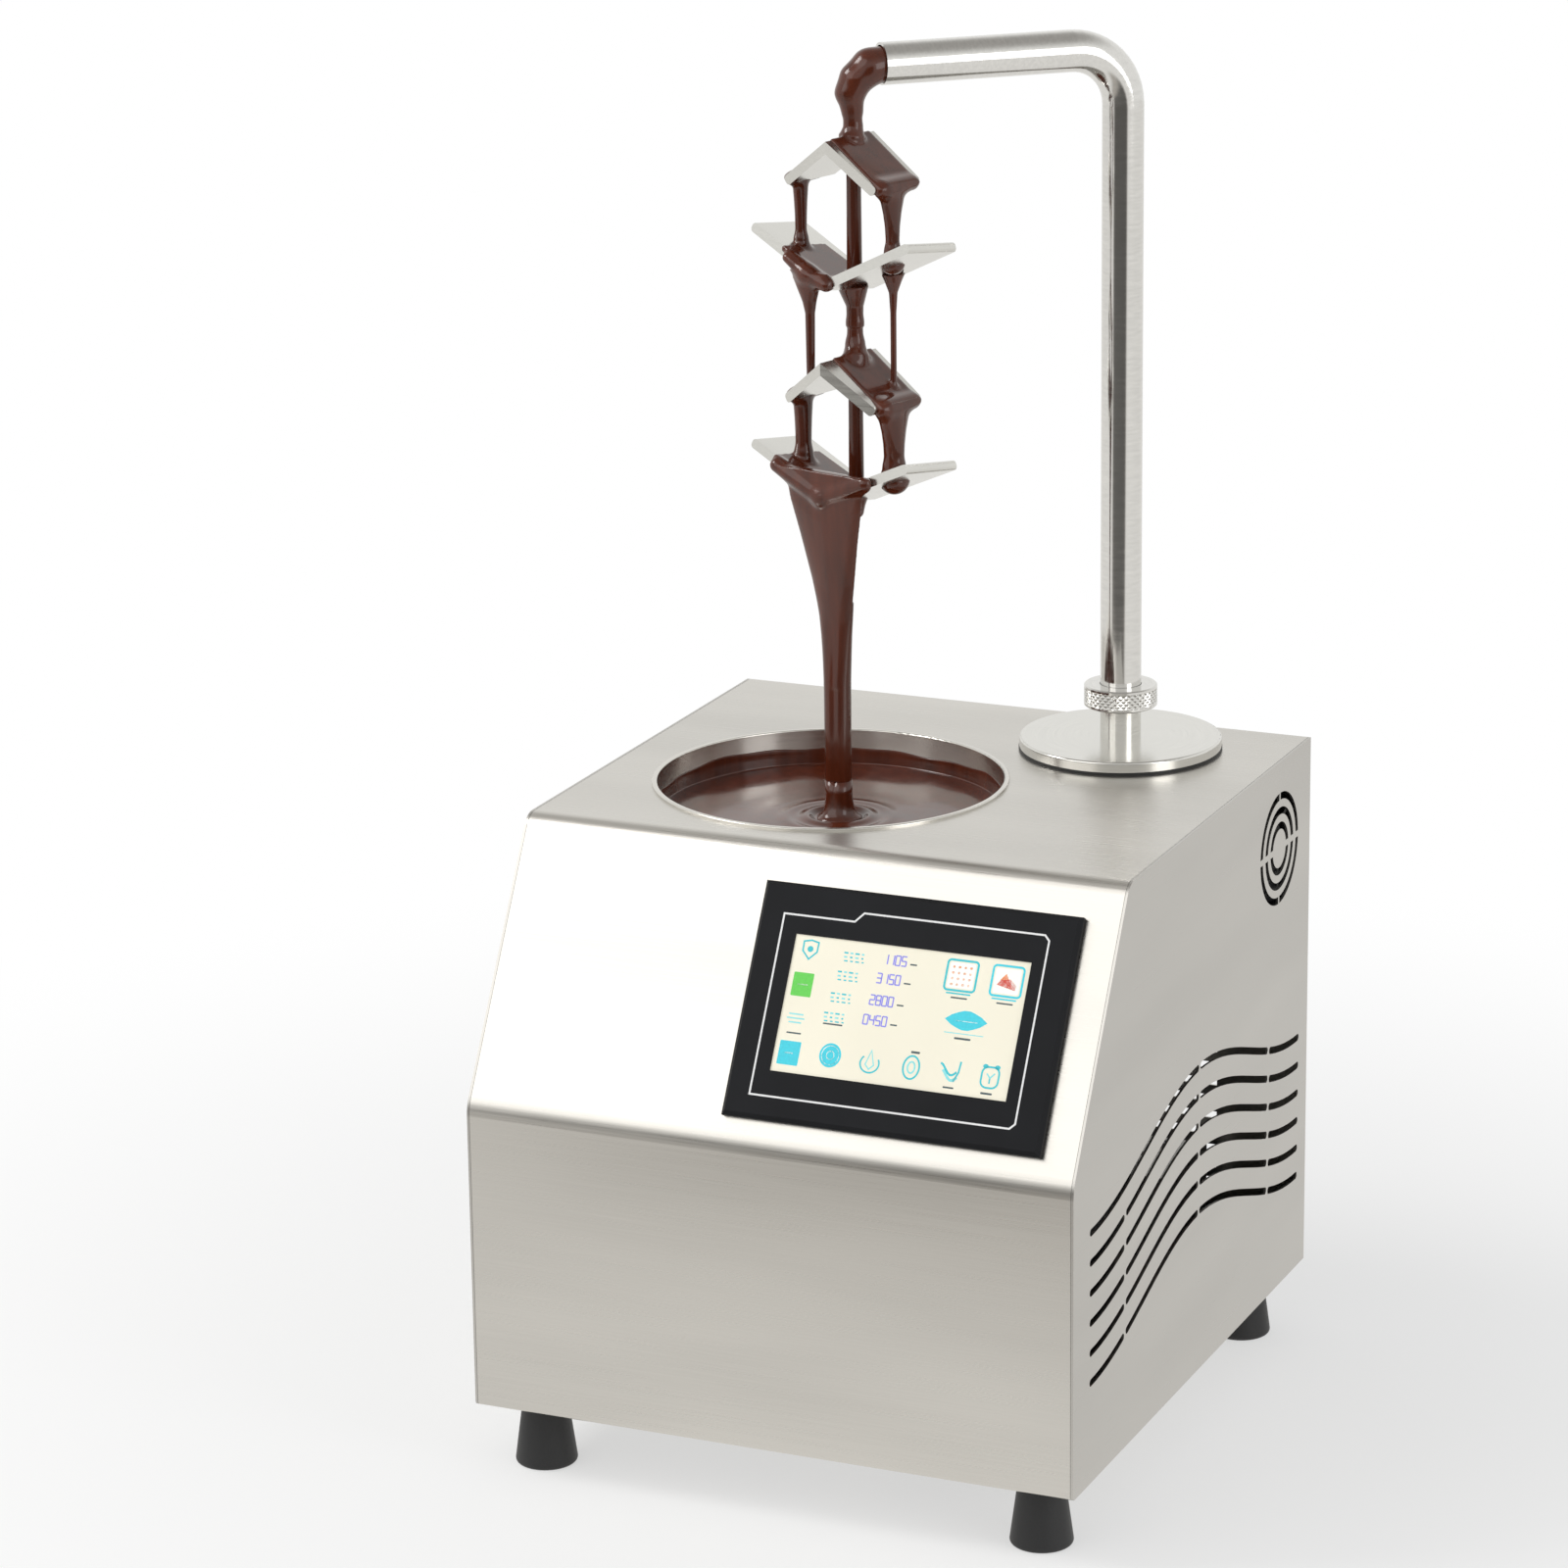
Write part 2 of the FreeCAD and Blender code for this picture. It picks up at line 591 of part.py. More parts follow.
def side_panel(name, sign):
    """A flat side sheet with return flanges; sign is -1 on the left and 1 on the right."""
    body = new_body(f"{name}_side_blank")
    face = sketch(body, "YZ_Plane")
    outline(face, [(FRONT, BOTTOM), (REAR, BOTTOM), (REAR, TOP), (TOP_FRONT, TOP), (FRONT, BEND)])
    pad(body, face, WALL)
    round_edges(body, f"dim.upper_bend + {WALL}", lies_along("x", y=TOP_FRONT, z=TOP))
    round_edges(body, f"dim.lower_bend + {WALL}", lies_along("x", y=FRONT, z=BEND))
    round_edges(body, f"dim.tight_bend + {WALL}", lies_along("x", y=FRONT, z=BOTTOM))
    # In the body's own frame the sheet lies between x = 0 and the sheet's thickness.
    root = "0" if sign > 0 else WALL
    tip = "-dim.flange_width" if sign > 0 else f"{WALL} + dim.flange_width"
    flange_middle = "-dim.flange_width / 2" if sign > 0 else f"{WALL} + dim.flange_width / 2"
    flange_back = f"{REAR_FACE} - {WALL}"
    low_flange = sketch(body, offset=BOTTOM)
    low_front = f"{FRONT} + dim.flange_width + {SEAM}"
    low_back = f"{flange_back} - {WALL} - {SEAM}"
    outline(low_flange, [(root, low_front), (tip, low_front), (tip, low_back), (root, low_back)])
    pad(body, low_flange, WALL)
    back_flange = sketch(body, offset=f"{BASE_TOP} + {SEAM}")
    outline(back_flange, [(root, flange_back), (tip, flange_back),
                          (tip, f"{flange_back} - {WALL}"), (root, f"{flange_back} - {WALL}")])
    pad(body, back_flange, f"{TOP} - {WALL} - {SEAM} - ({BASE_TOP} + {SEAM})")
    low_holes = sketch(body)
    for way in ("-", ""):
        circle(low_holes, flange_middle, f"{way}dim.base_screw_spacing / 2",
               "dim.small_screw + dim.hole_play")
    pocket(body, low_holes, f"{BOTTOM} + 2 * {WALL}", backwards=True)
    back_holes = sketch(body, "XZ_Plane")
    for height in rear_screw_heights():
        circle(back_holes, flange_middle, height, "dim.small_screw + dim.hole_play")
    pocket(body, back_holes)
    if sign > 0:
        studs = sketch(body, "YZ_Plane")
        for y, z in fan_stud_places():
            circle(studs, y, z, "dim.fan_stud")
        pad(body, studs, "dim.fan_depth + 4 * dim.fan_stud", backwards=True)
    left_face = f"{SIDE} - {WALL}" if sign > 0 else f"-{SIDE}"
    place(body, left_face)
    slots = wave_slots(name, left_face)
    if sign > 0:
        slots = join(f"{name}_slots", [slots, round_vent(left_face)])
    return cut(f"{name}_side_panel", body, slots)


def wave_height(y, middle):
    turns = (y - value("dim.wave_crest")) / value("dim.wave_length")
    return middle + value("dim.wave_rise") * math.cos(2 * math.pi * turns)


def wave_slot(front, rear, middle):
    """Face of one slot with round ends that follows the wave, in the YZ plane."""
    half = value("dim.slot_width") / 2
    steps = 2 + round((rear - front) / 30)
    upper, lower = [], []
    for step in range(steps + 1):
        y = front + (rear - front) * step / steps
        z = wave_height(y, middle)
        rise = wave_height(y + 0.5, middle) - wave_height(y - 0.5, middle)
        across = Vector(0, -rise, 1).normalize() * half
        upper.append(Vector(0, y, z) + across)
        lower.append(Vector(0, y, z) - across)
    edges = []
    for line in (upper, lower):
        curve = Part.BSplineCurve()
        curve.interpolate(line)
        edges.append(curve.toShape())
    for start, end, way in ((upper[0], lower[0], -1), (upper[-1], lower[-1], 1)):
        along = (start - end).cross(Vector(1, 0, 0)).normalize() * half
        if along.y * way < 0:
            along = along * -1
        edges.append(Part.Arc(start, (start + end) / 2 + along, end).toShape())
    return Part.Face(Part.Wire(Part.__sortEdges__(edges)))


def wave_slots(name, left_face):
    """All wave slots of one side, as a cutter through the sheet."""
    pieces = []
    start = value(f"{FRONT} + dim.slot_front")
    end = value(f"{REAR} - dim.slot_rear")
    crest = value("dim.wave_crest")
    rows = int(value("dim.wave_rows"))
    for row in range(rows):
        middle = value(BOTTOM) + value("dim.wave_low") + row * value("dim.wave_pitch")
        # The top slot runs without its front bridge.
        bridges = [crest, crest + value("dim.bridge_spacing")]
        if row < rows - 1:
            bridges.insert(0, crest - value("dim.bridge_spacing"))
        half = value("dim.bridge_width") / 2
        inner_ends = [y for bridge in bridges for y in (bridge - half, bridge + half)]
        ends = [start] + inner_ends + [end]
        for front, rear in zip(ends[::2], ends[1::2]):
            pieces.append(wave_slot(front, rear, middle))
    overrun = 5
    cutter = DOC.addObject("Part::Feature", f"{name}_waves")
    cutter.Shape = Part.makeCompound([face.extrude(Vector(overrun, 0, 0)) for face in pieces])
    place(cutter, f"{left_face} - {overrun} / 3")
    return cutter


def tube_cutter(name, outer, inner, length):
    return cut(name, cylinder(f"{name}_outer", outer, length), cylinder(f"{name}_inner", inner, length))


def round_vent(left_face):
    """Ring slots with bridges, lying along X through the right-hand sheet."""
    depth = f"5 * {WALL}"
    rings = []
    for number in range(int(value("dim.vent_rings"))):
        middle = f"(dim.vent_radius - {number} * dim.vent_pitch)"
        rings.append(tube_cutter(f"vent_ring_{number + 1}", f"{middle} + dim.slot_width / 2",
                                 f"{middle} - dim.slot_width / 2", depth))
    reach = "2 * (dim.vent_radius + dim.slot_width)"
    bars = [block("vent_bar", "0", "0", f"-{WALL}", "dim.vent_bridge", reach, f"7 * {WALL}")]
    for way in ("-", ""):
        bars.append(block("vent_bar_short", f"{way}dim.vent_radius", "0", f"-{WALL}",
                          "dim.slot_width * 1.5", "dim.vent_bridge / 2", f"7 * {WALL}"))
    result = cut("round_vent", join("vent_rings", rings), join("vent_bars", bars))
    place(result, f"{left_face} - 2 * {WALL}", VENT_Y, f"{BOTTOM} + dim.vent_height", "0; 1; 0", "90deg")
    return result


def fan_stud_places():
    for y_way in ("-", "+"):
        for z_way in ("-", "+"):
            yield (f"{VENT_Y} {y_way} dim.fan_holes / 2",
                   f"{BOTTOM} + dim.vent_height {z_way} dim.fan_holes / 2")


ELECTRIC_Z = f"({BOTTOM} + dim.electric_height)"
INLET_X = f"(-{SIDE} + dim.inlet_side)"
SWITCH_X = f"(-{SIDE} + dim.switch_side)"


def rear_panel():
    body = new_body("rear_panel")
    face = sketch(body, "XZ_Plane")
    low, high = f"({BOTTOM} + {SEAM})", f"({TOP} - {WALL} - {SEAM})"
    rectangle(face, "0", f"({low} + {high}) / 2", f"2 * ({SIDE} - {WALL} - {SEAM})", f"{high} - {low}")
    pad(body, face, WALL)
    holes = sketch(body, "XZ_Plane")
    play = "2 * dim.hole_play"
    rectangle(holes, INLET_X, ELECTRIC_Z, f"dim.inlet_width + {play}", f"dim.inlet_rise + {play}")
    rectangle(holes, SWITCH_X, ELECTRIC_Z, f"dim.switch_width + {play}", f"dim.switch_rise + {play}")
    for way in ("-", ""):
        for height in rear_screw_heights():
            circle(holes, f"{way}{SCREW_X}", height, "dim.small_screw + dim.hole_play")
    for number in range(int(value("dim.vent_slots"))):
        step = f"({number} - (dim.vent_slots - 1) / 2) * dim.rear_slot_pitch"
        level = f"{ELECTRIC_Z} + {step} + dim.rear_slot_length / 2"
        rectangle(holes, PUMP_X, level, "dim.rear_slot_length", "dim.slot_width")
    pocket(body, holes, backwards=True)
    place(body, y=REAR_FACE)
    return body


def base_plate():
    body = new_body("base_plate")
    side = f"({SIDE} - {WALL} - {SEAM})"
    # The front edge clears the round of the cover's bottom bend.
    front = f"({FRONT} + {WALL} + dim.tight_bend)"
    back = f"({REAR_FACE} - 2 * {WALL} - {SEAM})"
    plate = sketch(body)
    outline(plate, [(f"-{side}", front), (side, front), (side, back), (f"-{side}", back)])
    pad(body, plate, "dim.base_thickness")
    holes = sketch(body)
    for x, y in foot_places():
        circle(holes, x, y, "dim.bolt_radius + dim.hole_play")
    for way in ("-", ""):
        for y_way in ("-", ""):
            circle(holes, f"{way}{SCREW_X}", f"{y_way}dim.base_screw_spacing / 2",
                   "dim.small_screw + dim.hole_play")
    for x, y in bracket_screw_places() + board_places():
        circle(holes, x, y, "dim.small_screw + dim.hole_play")
    for number in range(int(value("dim.vent_slots"))):
        y = f"({number} - (dim.vent_slots - 1) / 2) * dim.rear_slot_pitch - dim.rear_slot_length"
        rectangle(holes, PUMP_X, y, "dim.rear_slot_length", "dim.slot_width")
    pocket(body, holes, backwards=True)
    place(body, z=f"{BOTTOM} + {WALL}")
    return body


# Feet and fasteners.


def foot_places():
    return [(f"{x}{FOOT_X}", f"{y}{FOOT_Y}") for y in ("-", "") for x in ("-", "")]


def feet():
    names = ("foot_front_left", "foot_front_right", "foot_rear_left", "foot_rear_right")
    height = f"({BOTTOM} + {WALL})"
    bore = "(dim.bolt_radius + dim.hole_play)"
    recess = "(dim.bolt_head + 3 * dim.hole_play)"
    result = []
    for name, (x, y) in zip(names, foot_places()):
        foot = turned(name, [
            (bore, "dim.foot_recess"),
            (recess, "dim.foot_recess"),
            (recess, "0"),
            ("dim.foot_radius", "0"),
            ("dim.foot_top_radius", height),
            (bore, height),
        ], x, y, "0")
        round_edges(foot, "dim.foot_edge", rim("dim.foot_radius", "0"))
        result.append(foot)
    return result


FACING = {
    "up": ("1; 0; 0", "0"),
    "down": ("1; 0; 0", "180deg"),
    "back": ("1; 0; 0", "-90deg"),
}


def screw(name, thread, head, head_height, length, x, y, z, facing):
    """Round-headed screw with a hexagon socket; the point is under its head."""
    body = new_body(name)
    spin(body, [("0", head_height), (head, head_height), (head, "0"), (thread, "0"),
                (thread, f"-({length})"), ("0", f"-({length})")])
    socket = sketch(body, offset=head_height)
    across = f"({thread} * 1.1)"
    outline(socket, [(f"{across} * cos({corner * 60}deg)", f"{across} * sin({corner * 60}deg)")
                     for corner in range(6)])
    pocket(body, socket, f"{head_height} * 0.7")
    place(body, x, y, z, *FACING[facing])
    return body


def hex_nut(name, bore, thickness, x, y, z, axis="0; 0; 1", turn="0"):
    """Hexagon nut with its lower face at the given point."""
    body = new_body(name)
    face = sketch(body)
    corner_radius = f"({bore} * 1.84)"
    outline(face, [(f"{corner_radius} * cos({corner * 60}deg)", f"{corner_radius} * sin({corner * 60}deg)")
                   for corner in range(6)])
    circle(face, "0", "0", f"{bore} + dim.seat_gap")
    pad(body, face, thickness)
    place(body, x, y, z, axis, turn)
    return body


def foot_screws():
    length = f"{BASE_TOP} + dim.nut_thickness + 1 - dim.foot_recess"
    return group("foot_screws", [
        screw("foot_screw", "dim.bolt_radius", "dim.bolt_head", "dim.bolt_head_height", length,
              x, y, "dim.foot_recess", "down")
        for x, y in foot_places()])


def foot_nuts():
    return group("foot_nuts", [
        hex_nut("foot_nut", "dim.bolt_radius", "dim.nut_thickness", x, y, BASE_TOP)
        for x, y in foot_places()])


def case_screws():
    """Six screws in the rear panel and four under the base."""
    sizes = ("dim.small_screw", "dim.small_head", "dim.small_head_height", "dim.case_screw_length")
    screws = []
    for way in ("-", ""):
        for height in rear_screw_heights():
            screws.append(screw("rear_screw", *sizes, f"{way}{SCREW_X}", REAR_FACE, height, "back"))
        for y_way in ("-", ""):
            screws.append(screw("base_screw", *sizes, f"{way}{SCREW_X}",
                                f"{y_way}dim.base_screw_spacing / 2", BOTTOM, "down"))
    return group("case_screws", screws)


# Bowl.


def bowl():
    """Spun bowl with a thin lip, a cone bottom and an outlet spigot."""
    lip = f"({BOWL_OUTER} + dim.lip_width)"
    wall = "dim.bowl_wall"
    body = turned("bowl", [
        (lip, "0"),
        (lip, "dim.lip_height"),
        ("dim.bowl_radius", "dim.lip_height"),
        ("dim.bowl_radius", "-dim.bowl_wall_depth"),
        (BORE, "-dim.bowl_depth"),
        (BORE, "-dim.bowl_depth - dim.spigot_length"),
        ("dim.tube_radius", "-dim.bowl_depth - dim.spigot_length"),
        ("dim.tube_radius", f"-dim.bowl_depth - {wall}"),
        (BOWL_OUTER, f"-dim.bowl_wall_depth - {wall}"),
        (BOWL_OUTER, "0"),
    ], "dim.bowl_x", "dim.bowl_y", TOP)
    round_edges(body, "dim.bowl_corner", rim("dim.bowl_radius", "-dim.bowl_wall_depth"))
    round_edges(body, f"dim.bowl_corner + {wall}", rim(BOWL_OUTER, f"-dim.bowl_wall_depth - {wall}"))
    round_edges(body, "dim.lip_height * 0.45", rim(lip, "dim.lip_height"))
    round_edges(body, "dim.lip_height * 0.45", rim("dim.bowl_radius", "dim.lip_height"))
    return body


def chocolate_bath():
    edge = "(dim.bowl_radius - dim.seat_gap)"
    body = turned("chocolate_bath", [
        ("0", "-dim.bath_drop"),
        (edge, "-dim.bath_drop"),
        (edge, "-dim.bowl_wall_depth + dim.seat_gap"),
        (BORE, "-dim.bowl_depth + dim.seat_gap"),
        ("0", "-dim.bowl_depth + dim.seat_gap"),
    ], "dim.bowl_x", "dim.bowl_y", TOP)
    round_edges(body, "dim.bowl_corner", rim(edge, "-dim.bowl_wall_depth + dim.seat_gap"))
    return body


def chocolate_splash():
    """Standing foot of the stream, from the bath up to the falling stream."""
    height = f"({STREAM_LOW} - dim.fit_gap - {BATH})"
    return turned("chocolate_splash", [
        ("0", "0"),
        ("dim.splash_radius", "0"),
        ("(dim.splash_radius + dim.stream_radius) / 2.6", "dim.splash_height * 0.3"),
        ("dim.stream_radius", "dim.splash_height"),
        ("dim.stream_radius", height),
        ("0", height),
    ], STREAM_X, STREAM_Y, BATH)


def sleeve(label, inner, thickness, low, high, x, y):
    """A band round an upright round piece."""
    outer = f"({inner} + {thickness})"
    return turned(label, [(inner, "0"), (outer, "0"), (outer, f"{high} - ({low})"),
                          (inner, f"{high} - ({low})")], x, y, low)


def bowl_heater():
    high = f"({TOP} - dim.band_drop)"
    return sleeve("bowl_heater", f"({BOWL_OUTER} + dim.seat_gap)", "dim.band_thickness",
                  f"({high} - dim.band_height)", high, "dim.bowl_x", "dim.bowl_y")


def bowl_insulation():
    """Wrap over the heater band that closes on the bowl above and below it."""
    high = "(-dim.band_drop + dim.lagging_margin)"
    low = "(-dim.band_drop - dim.band_height - dim.lagging_margin)"
    inner = f"({BOWL_OUTER} + dim.seat_gap)"
    groove = f"({inner} + dim.band_thickness + dim.seat_gap)"
    outer = f"({inner} + dim.band_thickness + dim.lagging_thickness)"
    return turned("bowl_insulation", [
        (inner, low), (outer, low), (outer, high), (inner, high),
        (inner, "-dim.band_drop + dim.seat_gap"), (groove, "-dim.band_drop + dim.seat_gap"),
        (groove, "-dim.band_drop - dim.band_height - dim.seat_gap"),
        (inner, "-dim.band_drop - dim.band_height - dim.seat_gap"),
    ], "dim.bowl_x", "dim.bowl_y", TOP)


def transfer_pipe():
    """Elbow from the bowl's spigot to the pump inlet."""
    body = new_body("transfer_pipe")
    top = f"({TOP} - dim.bowl_depth - dim.spigot_length)"
    bend = f"({top} - {INLET} - dim.pipe_straight)"
    end = f"({AXES_APART} - dim.inlet_reach)"
    path = sketch(body, "XZ_Plane")
    bent_path(path, "0", f"{top} - {INLET}", end, "0", bend)
    section = sketch(body, offset=f"{top} - {INLET}")
    ring(section, "dim.tube_radius", BORE)
    sweep(body, section, path)
    place(body, "dim.bowl_x", "dim.bowl_y", INLET, "0; 0; 1", f"{AIM} + 180deg")
    return body


def quarter_arc(target, x, z, radius, start):
    """Quarter circle about (x, z), anticlockwise from a start angle in degrees."""
    flow = Part.Circle(Vector(value(x), value(z), 0), Vector(0, 0, 1), value(radius))
    index = target.addGeometry(Part.ArcOfCircle(flow, math.radians(start), math.radians(start + 90)))
    # One end lies level with the centre, the other one above or below it.
    level, upright = (1, 2) if start % 180 == 0 else (2, 1)
    way = "+" if start < 180 else "-"
    bind_point(target, index, 3, x, z)
    bind_point(target, index, upright, x, f"{z} {way} {radius}")
    bind(target, "DistanceY", -1, 1, index, level, size=z)
    return index


def straight(target, x, z, meet, meet_vertex):
    """Line from a point to an end of another curve."""
    corner = target.getPoint(meet, meet_vertex)
    index = target.addGeometry(Part.LineSegment(Vector(value(x), value(z), 0), corner))
    bind_point(target, index, 1, x, z)
    target.addConstraint(Sketcher.Constraint("Coincident", index, 2, meet, meet_vertex))
    return index


def bent_path(target, x, z, far_x, far_z, bend):
    """Upright line, quarter arc and level line; far_z may lie above or below z."""
    falls = value(far_z) < value(z)
    centre_z = f"({far_z} {'+' if falls else '-'} {bend})"
    arc = quarter_arc(target, f"({x} + {bend})", centre_z, bend, 180 if falls else 90)
    straight(target, x, z, arc, 1 if falls else 2)
    straight(target, far_x, far_z, arc, 2 if falls else 1)


def sweep(body, section, path):
    DOC.recompute()
    feature = body.newObject("PartDesign::AdditivePipe", f"{body.Name}_pipe")
    feature.Profile = section
    feature.Spine = (path, [f"Edge{number + 1}" for number in range(path.GeometryCount)])
    return feature


def pipe_clamps():
    """Clamp rings over the two butt joints of the transfer pipe."""
    inner = "(dim.tube_radius + dim.seat_gap)"
    half = "dim.clamp_width / 2"
    profile = [
        (inner, f"-{half}"), ("dim.clamp_radius * 0.85", f"-{half}"),
        ("dim.clamp_radius", "-dim.clamp_width / 4"), ("dim.clamp_radius", "dim.clamp_width / 4"),
        ("dim.clamp_radius * 0.85", half), (inner, half),
    ]
    upper = turned("bowl_clamp", profile, "dim.bowl_x", "dim.bowl_y",
                   f"{TOP} - dim.bowl_depth - dim.spigot_length")
    lower = new_body("inlet_clamp")
    outer = sketch(lower, "YZ_Plane", f"dim.inlet_reach - {half}")
    ring(outer, "dim.clamp_radius", inner)
    pad(lower, outer, "dim.clamp_width")
    place(lower, PUMP_X, PUMP_Y, INLET, "0; 0; 1", AIM)
    return group("pipe_clamps", [upper, lower])


# Pump.


def pump_barrel():
    """Upright barrel with a side inlet, hung by its flange under the case top."""
    outer = "(dim.barrel_bore + dim.barrel_wall)"
    high = f"({TOP} - {WALL})"
    blank = turned("barrel_blank", [
        ("dim.barrel_bore", BARREL_LOW),
        (outer, BARREL_LOW),
        (outer, f"{high} - dim.flange_thickness"),
        ("dim.barrel_flange", f"{high} - dim.flange_thickness"),
        ("dim.barrel_flange", high),
        ("dim.barrel_bore", high),
    ], PUMP_X, PUMP_Y, "0")
    holes = sketch(blank)
    for number in range(int(value("dim.stud_count"))):
        turn = f"({number} * 360deg / dim.stud_count + 45deg)"
        circle(holes, f"dim.stud_circle * cos({turn})", f"dim.stud_circle * sin({turn})",
               "dim.bolt_radius + dim.hole_play")
    pocket(blank, holes, backwards=True)
    stub = side_tube("barrel_stub", "dim.tube_radius", f"dim.barrel_bore + {WALL}", "dim.inlet_reach", INLET)
    way_in = side_tube("barrel_way_in", BORE, "0", "dim.inlet_reach + 1", INLET)
    seat = side_tube("barrel_probe_seat", "dim.probe_radius + dim.seat_gap", f"-({outer}) - 1", "0", PROBE_Z)
    return cut("pump_barrel", join("barrel_tubes", [blank, stub]), join("barrel_cutters", [way_in, seat]))


PROBE_Z = f"({TOP} - dim.probe_drop)"


def side_tube(name, radius, start, end, height):
    """Level round bar along the line from the pump axis to the bowl."""
    body = new_body(name)
    face = sketch(body, "YZ_Plane", start)
    circle(face, "0", "0", radius)
    pad(body, face, f"{end} - ({start})")
    place(body, PUMP_X, PUMP_Y, height, "0; 0; 1", AIM)
    return body


def temperature_probe():
    """Screwed probe in the back of the barrel, with its sensing tip at the bore."""
    body = new_body("temperature_probe")
    outer = "(dim.barrel_bore + dim.barrel_wall)"
    for radius, start, end in (
            ("dim.probe_radius", "dim.barrel_bore + dim.seat_gap", f"{outer} + 4"),
            ("2.2 * dim.probe_radius", f"{outer} + dim.fit_gap", f"{outer} + 12"),
            ("1.4 * dim.probe_radius", f"{outer} + 12", f"{outer} + 26")):
        face = sketch(body, "YZ_Plane", start)
        circle(face, "0", "0", radius)
        pad(body, face, f"{end} - ({start})")
    place(body, PUMP_X, PUMP_Y, PROBE_Z, "0; 0; 1", f"{AIM} + 180deg")
    return body


def barrel_heater():
    return sleeve("barrel_heater", "(dim.barrel_bore + dim.barrel_wall + dim.seat_gap)", "dim.band_thickness",
                  f"({INLET} + dim.barrel_band_low)", f"({TOP} - dim.barrel_band_drop)",
                  PUMP_X, PUMP_Y)


def barrel_cap():
    """Cap under the barrel, with seats for the bush and the seal."""
    spigot = "(dim.barrel_bore - dim.seat_gap)"
    top = "(dim.cap_height + dim.cap_spigot)"
    seal_low = f"({top} - dim.seal_thickness - dim.fit_gap)"
    bush = "(dim.bush_radius + dim.seat_gap)"
    seal = "(dim.seal_radius + dim.seat_gap)"
    return turned("barrel_cap", [
        (bush, "0"),
        ("dim.cap_radius * 0.7", "0"),
        ("dim.cap_radius * 0.7", "dim.cap_height / 2"),
        ("dim.cap_radius", "dim.cap_height / 2"),
        ("dim.cap_radius", "dim.cap_height"),
        (spigot, "dim.cap_height"),
        (spigot, top),
        (seal, top),
        (seal, seal_low),
        (bush, seal_low),
    ], PUMP_X, PUMP_Y, CAP_LOW)


def shaft_bush():
    height = "(dim.cap_height + dim.cap_spigot - dim.seal_thickness - dim.fit_gap - dim.seat_gap)"
    bore = "(dim.shaft_radius + dim.shaft_fit)"
    return turned("shaft_bush", [(bore, "0"), ("dim.bush_radius", "0"), ("dim.bush_radius", height),
                                 (bore, height)], PUMP_X, PUMP_Y, CAP_LOW)


def shaft_seal():
    bore = "(dim.shaft_radius + 2 * dim.shaft_fit)"
    low = f"({BARREL_LOW} + dim.cap_spigot - dim.seal_thickness)"
    return turned("shaft_seal", [
        (bore, "0"), ("dim.seal_radius", "0"), ("dim.seal_radius", "dim.seal_thickness"),
        (bore, "dim.seal_thickness"),
    ], PUMP_X, PUMP_Y, low)


def auger_screw():
    """Core with one helical flight, and a journal down into the coupling."""
    journal = f"({COUPLING_LOW} + dim.coupling_length * 0.55)"
    core_low = f"({BARREL_LOW} + dim.cap_spigot + dim.fit_gap)"
    flight_low = f"({core_low} + 1)"
    core_high = f"({flight_low} + dim.auger_pitch * dim.auger_turns + dim.flight_thickness + 2)"
    body = turned("auger_screw", [
        ("0", journal),
        ("dim.shaft_radius", journal),
        ("dim.shaft_radius", core_low),
        ("dim.core_radius", core_low),
        ("dim.core_radius", core_high),
        ("0", core_high),
    ], PUMP_X, PUMP_Y, "0")
    tip = "(dim.barrel_bore - dim.fit_gap)"
    flight = sketch(body, "XZ_Plane")
    outline(flight, [
        ("dim.core_radius - 1", flight_low),
        (tip, f"{flight_low} + dim.flight_thickness * 0.2"),
        (tip, f"{flight_low} + dim.flight_thickness * 0.6"),
        ("dim.core_radius - 1", f"{flight_low} + dim.flight_thickness"),
    ])
    DOC.recompute()
    helix = body.newObject("PartDesign::AdditiveHelix", "auger_flight")
    helix.Profile = flight
    helix.ReferenceAxis = (flight, ["V_Axis"])
    helix.Mode = "pitch-turns-angle"
    helix.setExpression("Pitch", "dim.auger_pitch")
    helix.setExpression("Turns", "dim.auger_turns")
    return body


def shaft_coupling():
    bore = "(dim.shaft_radius + dim.seat_gap)"
    body = turned("shaft_coupling", [(bore, "0"), ("dim.coupling_radius", "0"),
                                     ("dim.coupling_radius", "dim.coupling_length"),
                                     (bore, "dim.coupling_length")],
                  PUMP_X, PUMP_Y, COUPLING_LOW)
    # Clamping slits at both ends.
    for offset in ("dim.coupling_length * 0.15", "dim.coupling_length * 0.8"):
        slit = sketch(body, offset=offset)
        rectangle(slit, "dim.coupling_radius / 2 + 4", "0", "dim.coupling_radius + 4",
                  "2 * dim.coupling_radius")
        pocket(body, slit, "1.2", backwards=True)
    return body


def gearbox_shaft():
    low = f"({GEARBOX_TOP} - dim.gearbox_height * 0.35)"
    high = f"({COUPLING_LOW} + dim.coupling_length * 0.45)"
    return turned("gearbox_shaft", [
        ("0", "0"), ("dim.shaft_radius", "0"),
        ("dim.shaft_radius", f"{high} - {low}"), ("0", f"{high} - {low}"),
    ], PUMP_X, PUMP_Y, low)


